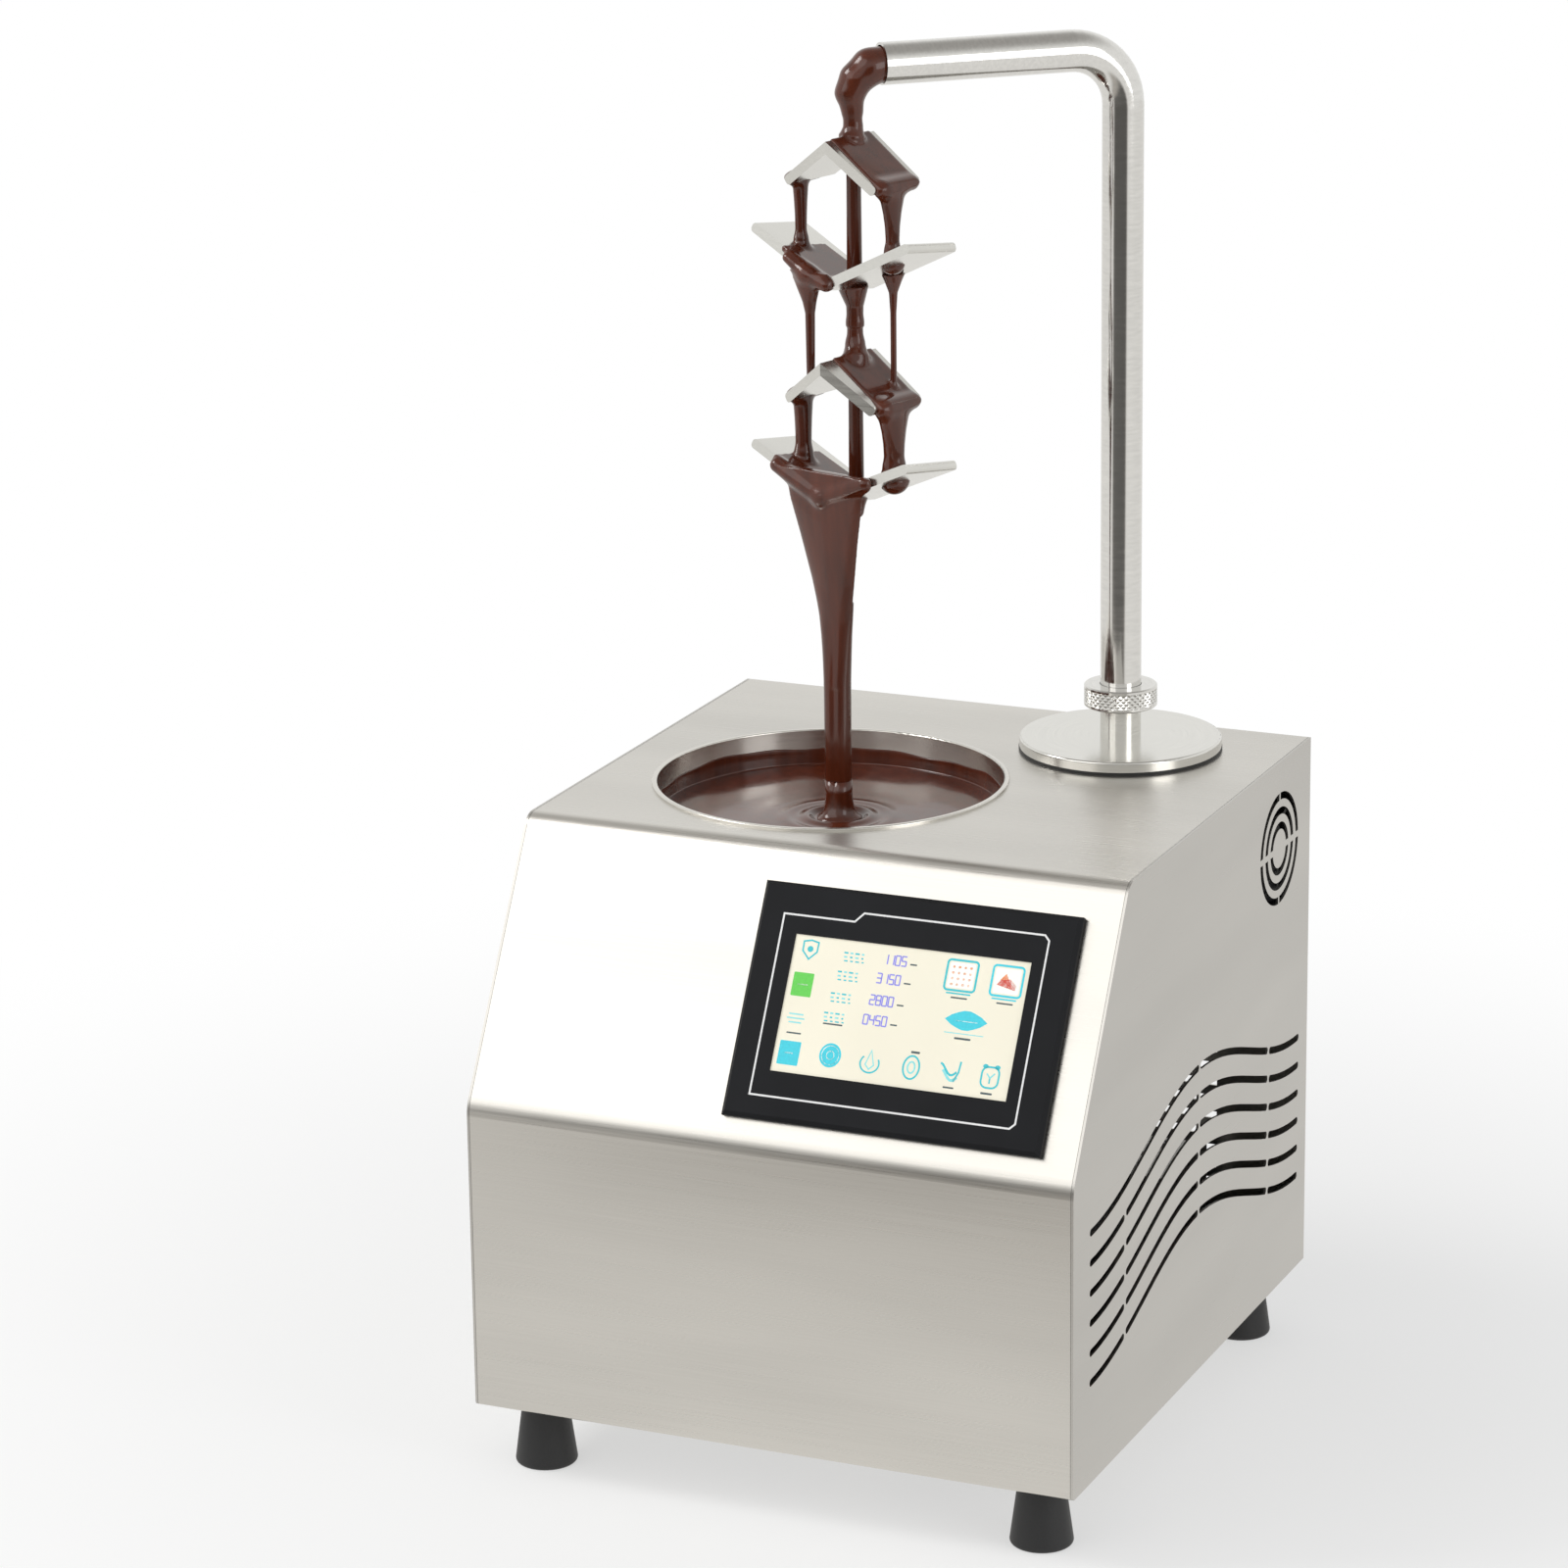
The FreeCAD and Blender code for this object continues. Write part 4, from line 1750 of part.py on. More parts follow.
def switch_rocker():
    """Rocker with round ends and a shallow V face, tilted to its rest position."""
    round_part = cylinder("rocker_round", "dim.rocker_radius", "dim.rocker_width",
                          "-dim.rocker_width / 2", axis="0; 1; 0", turn="90deg")
    wedge = new_body("rocker_wedge")
    face = sketch(wedge, "YZ_Plane")
    middle = "(dim.rocker_sink + dim.bezel_thickness / 2)"
    end = f"({middle} + dim.rocker_radius * tan(dim.rocker_tilt * 1deg))"
    outline(face, [
        (middle, "0"), (end, "dim.rocker_radius"), ("-dim.rocker_radius * 0.5", "dim.rocker_radius"),
        ("-dim.rocker_radius * 0.5", "-dim.rocker_radius"), (end, "-dim.rocker_radius"),
    ])
    pad(wedge, face, "dim.rocker_width", both_ways=True)
    rocker = DOC.addObject("Part::MultiCommon", "switch_rocker")
    rocker.Shapes = [round_part, wedge]
    place(rocker, SWITCH_X, f"{REAR_FACE} - dim.rocker_sink", ELECTRIC_Z, "1; 0; 0", "-dim.rocker_tilt")
    return rocker


def build():
    """Every node of the machine, in the order that it is put together."""
    nodes = [
        front_top_cover(), side_panel("left", -1), side_panel("right", 1), rear_panel(), base_plate(),
        *feet(), foot_screws(), foot_nuts(), case_screws(),
        bowl(), bowl_heater(), bowl_insulation(), transfer_pipe(), pipe_clamps(),
        pump_barrel(), barrel_heater(), temperature_probe(), barrel_cap(), shaft_bush(), shaft_seal(),
        auger_screw(), shaft_coupling(), gearbox_shaft(), gear_motor(), motor_bracket(), bracket_screws(),
        disc_gasket(), spout_flange(), flange_nuts(), union_seal(), union_nut(), spout_pipe(),
        hooked_rod("cascade_rod", "dim.rod_radius"), *tiers(),
        chocolate_bath(), chocolate_splash(), chocolate_falls(), chocolate_stream(),
        panel_gasket(), panel_bezel(), panel_display(), panel_housing(), panel_clamps(),
        fan_frame(), fan_impeller(), fan_nuts(),
        power_supply(), board_standoffs(), control_board(),
        power_inlet(), switch_housing(), switch_rocker(),
    ]
    DOC.recompute()
    return nodes


def check(nodes):
    """Stop before anything is written if any object failed."""
    for item in DOC.Objects:
        if "Invalid" in item.State or "Error" in item.State:
            raise RuntimeError(f"{item.Label}: {item.State}")
    for node in nodes:
        if node.Shape.isNull() or not node.Shape.isValid() or not node.Shape.Solids:
            raise RuntimeError(f"{node.Label} has no valid shape")


NODES = build()
check(NODES)
os.makedirs("parts", exist_ok=True)
for node in NODES:
    node.Shape.exportStep(f"parts/{node.Label}.step")
print(len(NODES), "nodes written")
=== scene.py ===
"""Looks of the table-top chocolate tempering machine, in metres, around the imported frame."""
import math

import bpy
import numpy as np
from mathutils import Matrix, Vector


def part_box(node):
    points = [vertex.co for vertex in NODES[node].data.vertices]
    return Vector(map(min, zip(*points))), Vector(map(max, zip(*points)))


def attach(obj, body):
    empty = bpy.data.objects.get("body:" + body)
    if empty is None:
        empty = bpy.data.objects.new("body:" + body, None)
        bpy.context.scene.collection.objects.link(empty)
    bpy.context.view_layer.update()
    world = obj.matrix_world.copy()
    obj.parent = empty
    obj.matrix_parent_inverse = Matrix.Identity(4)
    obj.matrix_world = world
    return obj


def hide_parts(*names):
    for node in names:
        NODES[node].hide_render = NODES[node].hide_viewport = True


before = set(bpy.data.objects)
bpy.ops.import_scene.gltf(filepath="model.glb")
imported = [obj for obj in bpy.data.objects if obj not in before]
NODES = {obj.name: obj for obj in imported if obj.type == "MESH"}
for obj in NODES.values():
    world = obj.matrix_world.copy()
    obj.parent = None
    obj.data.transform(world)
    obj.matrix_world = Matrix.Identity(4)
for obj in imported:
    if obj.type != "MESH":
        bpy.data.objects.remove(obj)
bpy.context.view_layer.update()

MM = 0.001


# Places taken from the frame.

def middle(node):
    low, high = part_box(node)
    return (low + high) / 2


CASE_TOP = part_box("front_top_cover")[1].z
CASE_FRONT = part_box("front_top_cover")[0].y
BOWL = middle("bowl")
BATH_LOW, BATH_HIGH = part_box("chocolate_bath")
BATH_RADIUS = (BATH_HIGH.x - BATH_LOW.x) / 2
BATH_LEVEL = BATH_HIGH.z
BATH_BOTTOM = BATH_LOW.z
PUMP = middle("union_nut")
NUT_LOW, NUT_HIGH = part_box("union_nut")
ROD_RADIUS = 3 * MM
# The rod's upright part is at the corner of its box nearest the front left.
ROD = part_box("cascade_rod")[0] + Vector((ROD_RADIUS, ROD_RADIUS, 0))
STREAM = middle("chocolate_stream")
STREAM_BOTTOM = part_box("chocolate_stream")[0].z
SPOUT_RADIUS = 12.5 * MM
MOUTH_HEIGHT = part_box("spout_pipe")[1].z - SPOUT_RADIUS
# The troughs lean forward up about the rod, so their folds' back ends are the lowest.
TROUGH_LEAN = math.radians(7.5)
TROUGH_DROP = 17.5 * MM * math.sin(TROUGH_LEAN)
FOLD = {
    "upper_roof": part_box("upper_roof_plate")[1].z,
    "upper_trough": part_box("upper_trough_plate")[0].z + TROUGH_DROP,
    "lower_roof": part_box("lower_roof_plate")[1].z,
    "lower_trough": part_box("lower_trough_plate")[0].z + TROUGH_DROP,
}


# Camera, light and floor.

AZIMUTH = math.radians(23.888)
ELEVATION = math.radians(16.474)
ROLL = math.radians(-0.770)
DISTANCE = 3.1679
TARGET = Vector((0.00394, -0.17733, 0.44113))
LENS = 128.467


def make_camera():
    back = Vector((math.sin(AZIMUTH) * math.cos(ELEVATION), -math.cos(AZIMUTH) * math.cos(ELEVATION),
                   math.sin(ELEVATION)))
    level = Vector((0, 0, 1)).cross(back).normalized()
    upright = back.cross(level)
    right = level * math.cos(ROLL) + upright * math.sin(ROLL)
    up = upright * math.cos(ROLL) - level * math.sin(ROLL)
    data = bpy.data.cameras.new("camera")
    data.lens = LENS
    data.sensor_width = 36
    data.clip_end = 30
    camera = bpy.data.objects.new("camera", data)
    bpy.context.scene.collection.objects.link(camera)
    turn = Matrix((right, up, back)).transposed().to_4x4()
    camera.matrix_world = Matrix.Translation(TARGET + back * DISTANCE) @ turn
    bpy.context.scene.camera = camera


def area_light(name, place, aim, size, power, color=(1, 1, 1)):
    data = bpy.data.lights.new(name, "AREA")
    data.shape = "RECTANGLE"
    data.size, data.size_y = size
    data.energy = power
    data.color = color
    light = bpy.data.objects.new(name, data)
    bpy.context.scene.collection.objects.link(light)
    light.location = place
    light.rotation_euler = (Vector(aim) - Vector(place)).to_track_quat("-Z", "Y").to_euler()


class Tree:
    """A node tree with short ways to add and join nodes."""

    def __init__(self, tree):
        self.tree = tree

    def node(self, kind, **settings):
        node = self.tree.nodes.new(kind)
        for name, value in settings.items():
            setattr(node, name, value)
        return node

    def feed(self, value, socket):
        if isinstance(value, bpy.types.NodeSocket):
            self.tree.links.new(value, socket)
        else:
            socket.default_value = value

    def math(self, operation, first, second=0.0):
        node = self.node("ShaderNodeMath", operation=operation)
        self.feed(first, node.inputs[0])
        self.feed(second, node.inputs[1])
        return node.outputs[0]

    def reach(self, x, y):
        """Length of a level vector."""
        return self.math("SQRT", self.math("ADD", self.math("MULTIPLY", x, x), self.math("MULTIPLY", y, y)))

    def ramp(self, value, start, end, low=0.0, high=1.0, kind="SMOOTHSTEP"):
        """Maps start..end to low..high and holds the ends."""
        node = self.node("ShaderNodeMapRange", interpolation_type=kind)
        for name, number in (("From Min", start), ("From Max", end), ("To Min", low), ("To Max", high)):
            node.inputs[name].default_value = number
        self.feed(value, node.inputs["Value"])
        return node.outputs["Result"]

    def mix(self, share, first, second):
        """Colour between two colours."""
        node = self.node("ShaderNodeMix", data_type="RGBA")
        self.feed(share, node.inputs[0])
        self.feed(first, node.inputs[6])
        self.feed(second, node.inputs[7])
        return node.outputs[2]

    def blend(self, share, first, second):
        """Mix of two shaders."""
        node = self.node("ShaderNodeMixShader")
        for value, socket in zip((share, first, second), node.inputs):
            self.feed(value, socket)
        return node.outputs[0]

    def parts(self, vector):
        """The three numbers of a vector."""
        node = self.node("ShaderNodeSeparateXYZ")
        self.feed(vector, node.inputs[0])
        return node.outputs

    def mirrored_rays(self, rays):
        """1 for the rays that metal and glass send out."""
        return self.math("MAXIMUM", rays["Is Glossy Ray"], rays["Is Transmission Ray"])


def fresh_tree(owner):
    """An empty node tree for a world or a material."""
    owner.use_nodes = True
    owner.node_tree.nodes.clear()
    return Tree(owner.node_tree)


WHITE = (1, 1, 1, 1)
BACKDROP = (0.97, 0.97, 0.95, 1)
CEILING = (0.42, 0.41, 0.39, 1)
# Painted reflection: the floor glows with these colours for the rays that metal sends out.
FLOOR_NEAR = (0.94, 0.93, 0.90, 1)
FLOOR_GREY = (0.47, 0.44, 0.40, 1)
FLOOR_HALF = 6.0
UNLIT = (0.085, 0.080, 0.072, 1)
DARK_SIDE = (math.sin(math.radians(8)), -math.cos(math.radians(8)))


def towards_unlit_side(nodes, x, y):
    """A level vector's length, its reach towards the studio's unlit side, and 1 where it points there."""
    reach = nodes.reach(x, y)
    ahead = nodes.math("ADD", *(nodes.math("MULTIPLY", part, share) for part, share in zip((x, y), DARK_SIDE)))
    return reach, ahead, nodes.ramp(nodes.math("DIVIDE", ahead, reach), 0.72, 0.87)


def make_world():
    """Even light, a white backdrop for the camera, and a room that the metal reflects."""
    world = bpy.data.worlds.new("studio")
    bpy.context.scene.world = world
    nodes = fresh_tree(world)
    rays = nodes.node("ShaderNodeLightPath").outputs
    x, y, z = nodes.parts(nodes.node("ShaderNodeTexCoord").outputs["Generated"])
    dark = nodes.math("MULTIPLY", towards_unlit_side(nodes, x, y)[2], nodes.ramp(z, 0.05, 0.30, 1.0, 0.0))
    room = nodes.mix(nodes.ramp(z, 0.45, 0.95), BACKDROP, CEILING)
    light = nodes.node("ShaderNodeBackground")
    light.inputs["Color"].default_value = (0.97, 0.985, 1, 1)
    light.inputs["Strength"].default_value = 0.52
    seen = nodes.node("ShaderNodeBackground")
    mirrored = nodes.mirrored_rays(rays)
    nodes.feed(nodes.mix(mirrored, WHITE, nodes.mix(dark, room, UNLIT)), seen.inputs["Color"])
    shown = nodes.math("MAXIMUM", rays["Is Camera Ray"], mirrored)
    out = nodes.node("ShaderNodeOutputWorld")
    nodes.feed(nodes.blend(shown, light.outputs[0], seen.outputs[0]), out.inputs[0])


def make_floor():
    """Pale floor that runs out to white but keeps the machine's shadow, and glows in the metal's reflections
    with a painted room: white near the machine, grey and dark towards the unlit side.
    """
    corners = [(x * FLOOR_HALF, y * FLOOR_HALF, 0) for x, y in ((-1, -1), (1, -1), (1, 1), (-1, 1))]
    mesh = bpy.data.meshes.new("floor")
    mesh.from_pydata(corners, [], [(0, 1, 2, 3)])
    floor = bpy.data.objects.new("floor", mesh)
    bpy.context.scene.collection.objects.link(floor)
    material = bpy.data.materials.new("floor_white")
    nodes = fresh_tree(material)
    rays = nodes.node("ShaderNodeLightPath").outputs
    x, y = nodes.parts(nodes.node("ShaderNodeTexCoord").outputs["Object"])[:2]
    reach, ahead, dark = towards_unlit_side(nodes, x, y)
    # Painted reflection: for the rays that metal sends out, the floor's glow is painted white near the
    # machine, then grey and dark towards the unlit side.
    near = nodes.mix(nodes.math("MULTIPLY", dark, nodes.ramp(ahead, 0.50, 0.85)), FLOOR_NEAR, FLOOR_GREY)
    room = nodes.mix(nodes.math("MULTIPLY", dark, nodes.ramp(ahead, 0.95, 1.6)), near, UNLIT)
    matte = nodes.node("ShaderNodeBsdfDiffuse")
    matte.inputs["Color"].default_value = (0.86, 0.86, 0.85, 1)
    glow = nodes.node("ShaderNodeEmission")
    mirrored = nodes.mirrored_rays(rays)
    nodes.feed(nodes.mix(mirrored, WHITE, room), glow.inputs["Color"])
    seen = nodes.math("MULTIPLY", rays["Is Camera Ray"], nodes.ramp(reach, 0.30, 1.1, 0.55, 1.0))
    # The floor shows that painted reflection as glow for nine tenths of the rays that metal sends out.
    share = nodes.math("MAXIMUM", seen, nodes.math("MULTIPLY", mirrored, 0.9))
    out = nodes.node("ShaderNodeOutputMaterial")
    nodes.feed(nodes.blend(share, matte.outputs[0], glow.outputs[0]), out.inputs[0])
    mesh.materials.append(material)


# Materials.

class Shader(Tree):
    """A Principled material and the node chains that feed it."""

    def __init__(self, name, color, roughness, metallic=0.0):
        self.material = bpy.data.materials.new(name)
        self.material.use_nodes = True
        super().__init__(self.material.node_tree)
        self.surface = self.tree.nodes["Principled BSDF"]
        self.set("Base Color", (*color, 1))
        self.set("Roughness", roughness)
        self.set("Metallic", metallic)
        self.color = color

    def set(self, socket, value):
        self.surface.inputs[socket].default_value = value

    def place(self, scale, centre=(0, 0, 0)):
        """Object coordinates in metres, moved to a centre and scaled by axis."""
        coordinates = self.node("ShaderNodeTexCoord")
        mapping = self.node("ShaderNodeMapping")
        mapping.inputs["Scale"].default_value = scale
        mapping.inputs["Location"].default_value = tuple(-c * s for c, s in zip(centre, scale))
        self.feed(coordinates.outputs["Object"], mapping.inputs["Vector"])
        return mapping.outputs["Vector"]

    def round_place(self, centre, around, across, along):
        """Coordinates that follow turning marks round an upright axis."""
        x, y, z = self.parts(self.place((1, 1, 1), centre))
        joined = self.node("ShaderNodeCombineXYZ")
        runs = (self.math("ARCTAN2", y, x), around), (self.reach(x, y), across), (z, along)
        for (value, factor), socket in zip(runs, joined.inputs):
            self.feed(self.math("MULTIPLY", value, factor), socket)
        return joined.outputs[0]

    def noise(self, vector, scale=1.0, detail=3.0, roughness=0.5):
        texture = self.node("ShaderNodeTexNoise")
        texture.inputs["Scale"].default_value = scale
        texture.inputs["Detail"].default_value = detail
        texture.inputs["Roughness"].default_value = roughness
        self.feed(vector, texture.inputs["Vector"])
        return texture.outputs["Fac"]

    def spread(self, value, low, high, start=0.3, end=0.7):
        """Maps a noise value from its usual range to low..high."""
        return self.ramp(value, start, end, low, high, "LINEAR")

    def tint(self, value, low, high):
        """Base colour between two multiples of the material's colour."""
        colors = [(*(min(1, c * factor) for c in self.color), 1) for factor in (low, high)]
        self.feed(self.mix(value, *colors), self.surface.inputs["Base Color"])

    def vary_roughness(self, value, low, high):
        self.feed(self.spread(value, low, high), self.surface.inputs["Roughness"])

    def bump(self, height, distance, strength=1.0):
        node = self.node("ShaderNodeBump")
        node.inputs["Distance"].default_value = distance
        node.inputs["Strength"].default_value = strength
        self.feed(height, node.inputs["Height"])
        self.feed(node.outputs["Normal"], self.surface.inputs["Normal"])


def brushed(name, color, roughness, along, fineness=900.0, depth=0.010 * MM, cloud=0.05, spread=0.1):
    """Sheet steel with grain lines along one axis."""
    shader = Shader(name, color, roughness, 1.0)
    grain_scale = [fineness] * 3
    grain_scale[along] = fineness / 110
    grain = shader.noise(shader.place(grain_scale), detail=4, roughness=0.65)
    cloud_scale = [16.0] * 3
    cloud_scale[along] = 3.0
    clouds = shader.noise(shader.place(cloud_scale), detail=2)
    both = shader.math("ADD", shader.math("MULTIPLY", grain, 0.45), shader.math("MULTIPLY", clouds, 0.55))
    shader.tint(shader.spread(both, 0, 1, 0.38, 0.62), 1 - cloud, 1 + cloud)
    shader.vary_roughness(grain, roughness - spread / 2, roughness + spread / 2)
    shader.bump(grain, depth)
    return shader.material


def turned(name, color, roughness, centre, fineness=1500.0, depth=0.006 * MM, spread=0.06):
    """Steel with marks that run round an upright axis."""
    shader = Shader(name, color, roughness, 1.0)
    marks = shader.noise(shader.round_place(centre, 1.2, fineness, fineness), detail=3, roughness=0.6)
    shader.tint(shader.spread(marks, 0, 1), 0.94, 1.04)
    shader.vary_roughness(marks, roughness - spread / 2, roughness + spread / 2)
    shader.bump(marks, depth)
    return shader.material


def grained(name, color, roughness, fineness=1200.0, depth=0.02 * MM, variation=0.12, metallic=0.0,
            shine=0.5):
    """Moulded plastic, rubber or paint with a fine even grain."""
    shader = Shader(name, color, roughness, metallic)
    grain = shader.noise(shader.place((1, 1, 1)), fineness, detail=3)
    patches = shader.noise(shader.place((1, 1, 1)), 35.0, detail=2)
    shader.tint(shader.spread(patches, 0, 1), 1 - variation, 1 + variation)
    shader.vary_roughness(grain, roughness - 0.05, roughness + 0.05)
    shader.bump(grain, depth)
    shader.set("Specular IOR Level", shine)
    return shader.material


def chocolate(name):
    """Wet dark chocolate: deep brown, glossy, with faint flow lines."""
    shader = Shader(name, (0.080, 0.0165, 0.0065), 0.15)
    flow = shader.noise(shader.place((140, 140, 12)), detail=2)
    shader.tint(shader.spread(flow, 0, 1), 0.8, 1.25)
    shader.vary_roughness(flow, 0.11, 0.18)
    shader.set("IOR", 1.44)
    shader.set("Coat Weight", 0.2)
    shader.set("Coat Roughness", 0.06)
    shader.set("Subsurface Weight", 0.06)
    shader.set("Subsurface Radius", (0.004, 0.0015, 0.0008))
    return shader.material


def plain(name, color, roughness=0.4, glow=0.0):
    """A small printed or lit mark, with a faint mottle of its own."""
    shader = Shader(name, color, roughness)
    mottle = shader.noise(shader.place((1, 1, 1)), 700.0, detail=2)
    shader.tint(shader.spread(mottle, 0, 1), 0.93, 1.05)
    if glow:
        shader.set("Emission Color", (*color, 1))
        shader.set("Emission Strength", glow)
    return shader.material


STEEL = (0.62, 0.60, 0.565)
COVER_STEEL = brushed("cover_steel", STEEL, 0.30, along=0, cloud=0.06)
# Painted shade: the side and rear panels get the cover's brushed steel with its grain along y, made darker
# than the cover as painted shade on the sides.
SHADED_SIDE_STEEL = brushed("shaded_side_steel", (0.52, 0.505, 0.48), 0.32, along=1, cloud=0.05)
BASE_STEEL = brushed("base_steel", (0.50, 0.49, 0.47), 0.36, along=1)
BOWL_STEEL = turned("bowl_steel", (0.66, 0.64, 0.60), 0.20, BOWL)
TUBE_STEEL = turned("tube_steel", (0.70, 0.69, 0.67), 0.12, PUMP, fineness=500, depth=0.002 * MM)
DISC_STEEL = turned("disc_steel", (0.70, 0.69, 0.66), 0.17, PUMP)
PLATE_STEEL = brushed("plate_steel", (0.66, 0.65, 0.62), 0.20, along=0, depth=0.004 * MM)
INNER_STEEL = brushed("inner_steel", (0.55, 0.54, 0.52), 0.30, along=2)
ZINC = grained("zinc_plating", (0.58, 0.58, 0.60), 0.32, metallic=1.0)
FOOT_RUBBER = grained("foot_rubber", (0.012, 0.012, 0.013), 0.55, 1800, 0.03 * MM)
SEAL_RUBBER = grained("seal_rubber", (0.012, 0.012, 0.012), 0.5)
BEZEL = grained("bezel_black", (0.0085, 0.009, 0.011), 0.45, 2600, 0.008 * MM, shine=0.12)
HOUSING = grained("housing_grey", (0.05, 0.05, 0.055), 0.5)
MOULDED = grained("black_moulding", (0.014, 0.014, 0.015), 0.42)
SILICONE = grained("orange_silicone", (0.55, 0.16, 0.04), 0.5)
LAGGING = grained("glass_wrap", (0.68, 0.66, 0.60), 0.9, 900, 0.3 * MM, 0.2)
BRONZE = grained("bronze", (0.56, 0.34, 0.15), 0.35, metallic=1.0)
MOTOR = grained("motor_paint", (0.03, 0.033, 0.038), 0.4)
ALUMINIUM = brushed("supply_metal", (0.62, 0.63, 0.64), 0.38, along=0)
BOARD = grained("circuit_board", (0.02, 0.12, 0.05), 0.35)
CHOCOLATE = chocolate("chocolate")

FINISHES = {
    COVER_STEEL: ("front_top_cover",),
    SHADED_SIDE_STEEL: ("left_side_panel", "right_side_panel", "rear_panel"),
    BASE_STEEL: ("base_plate",),
    BOWL_STEEL: ("bowl",),
    TUBE_STEEL: ("spout_pipe", "transfer_pipe", "cascade_rod", "auger_screw"),
    DISC_STEEL: ("spout_flange", "barrel_cap", "pump_barrel"),
    PLATE_STEEL: ("upper_roof_plate", "upper_trough_plate", "lower_roof_plate", "lower_trough_plate"),
    INNER_STEEL: ("pipe_clamps", "motor_bracket", "temperature_probe"),
    ZINC: ("foot_screws", "foot_nuts", "case_screws", "gearbox_shaft", "bracket_screws", "flange_nuts",
           "panel_clamps", "fan_nuts", "board_standoffs"),
    FOOT_RUBBER: ("foot_front_left", "foot_front_right", "foot_rear_left", "foot_rear_right"),
    SEAL_RUBBER: ("shaft_seal", "disc_gasket", "union_seal", "panel_gasket"),
    BEZEL: ("panel_bezel",),
    HOUSING: ("panel_housing",),
    MOULDED: ("fan_frame", "fan_impeller", "power_inlet", "switch_housing", "switch_rocker"),
    SILICONE: ("bowl_heater", "barrel_heater"),
    LAGGING: ("bowl_insulation",),
    BRONZE: ("shaft_bush",),
    MOTOR: ("gear_motor",),
    ALUMINIUM: ("shaft_coupling", "power_supply"),
    BOARD: ("control_board",),
}


def finish_nodes():
    for material, names in FINISHES.items():
        for name in names:
            mesh = NODES[name].data
            mesh.materials.clear()
            mesh.materials.append(material)


# Pieces.

def new_piece(name, vertices, faces, material, body, smooth=True):
    mesh = bpy.data.meshes.new(name)
    mesh.from_pydata([tuple(v) for v in vertices], [], [tuple(f) for f in faces])
    mesh.materials.append(material)
    mesh.update()
    if smooth:
        mesh.shade_smooth()
    piece = bpy.data.objects.new(name, mesh)
    bpy.context.scene.collection.objects.link(piece)
    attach(piece, body)
    return piece


def lathe(profile, segments, bend=None):
    """Closed surface of a profile of (radius, height), from the axis below to the axis above.

    bend moves one ring's points: it takes the row number and angle and returns (radius, height).
    """
    vertices, faces = [], []
    rings = profile[1:-1]
    vertices.append((0, 0, profile[0][1]))
    for row, (radius, height) in enumerate(rings):
        for step in range(segments):
            angle = 2 * math.pi * step / segments
            r, z = bend(row, angle, radius, height) if bend else (radius, height)
            vertices.append((r * math.cos(angle), r * math.sin(angle), z))
    vertices.append((0, 0, profile[-1][1]))
    last = len(vertices) - 1
    for step in range(segments):
        following = (step + 1) % segments
        faces.append((0, 1 + following, 1 + step))
        top = 1 + (len(rings) - 1) * segments
        faces.append((top + step, top + following, last))
        for row in range(len(rings) - 1):
            a = 1 + row * segments
            faces.append((a + step, a + following, a + segments + following, a + segments + step))
    return vertices, faces


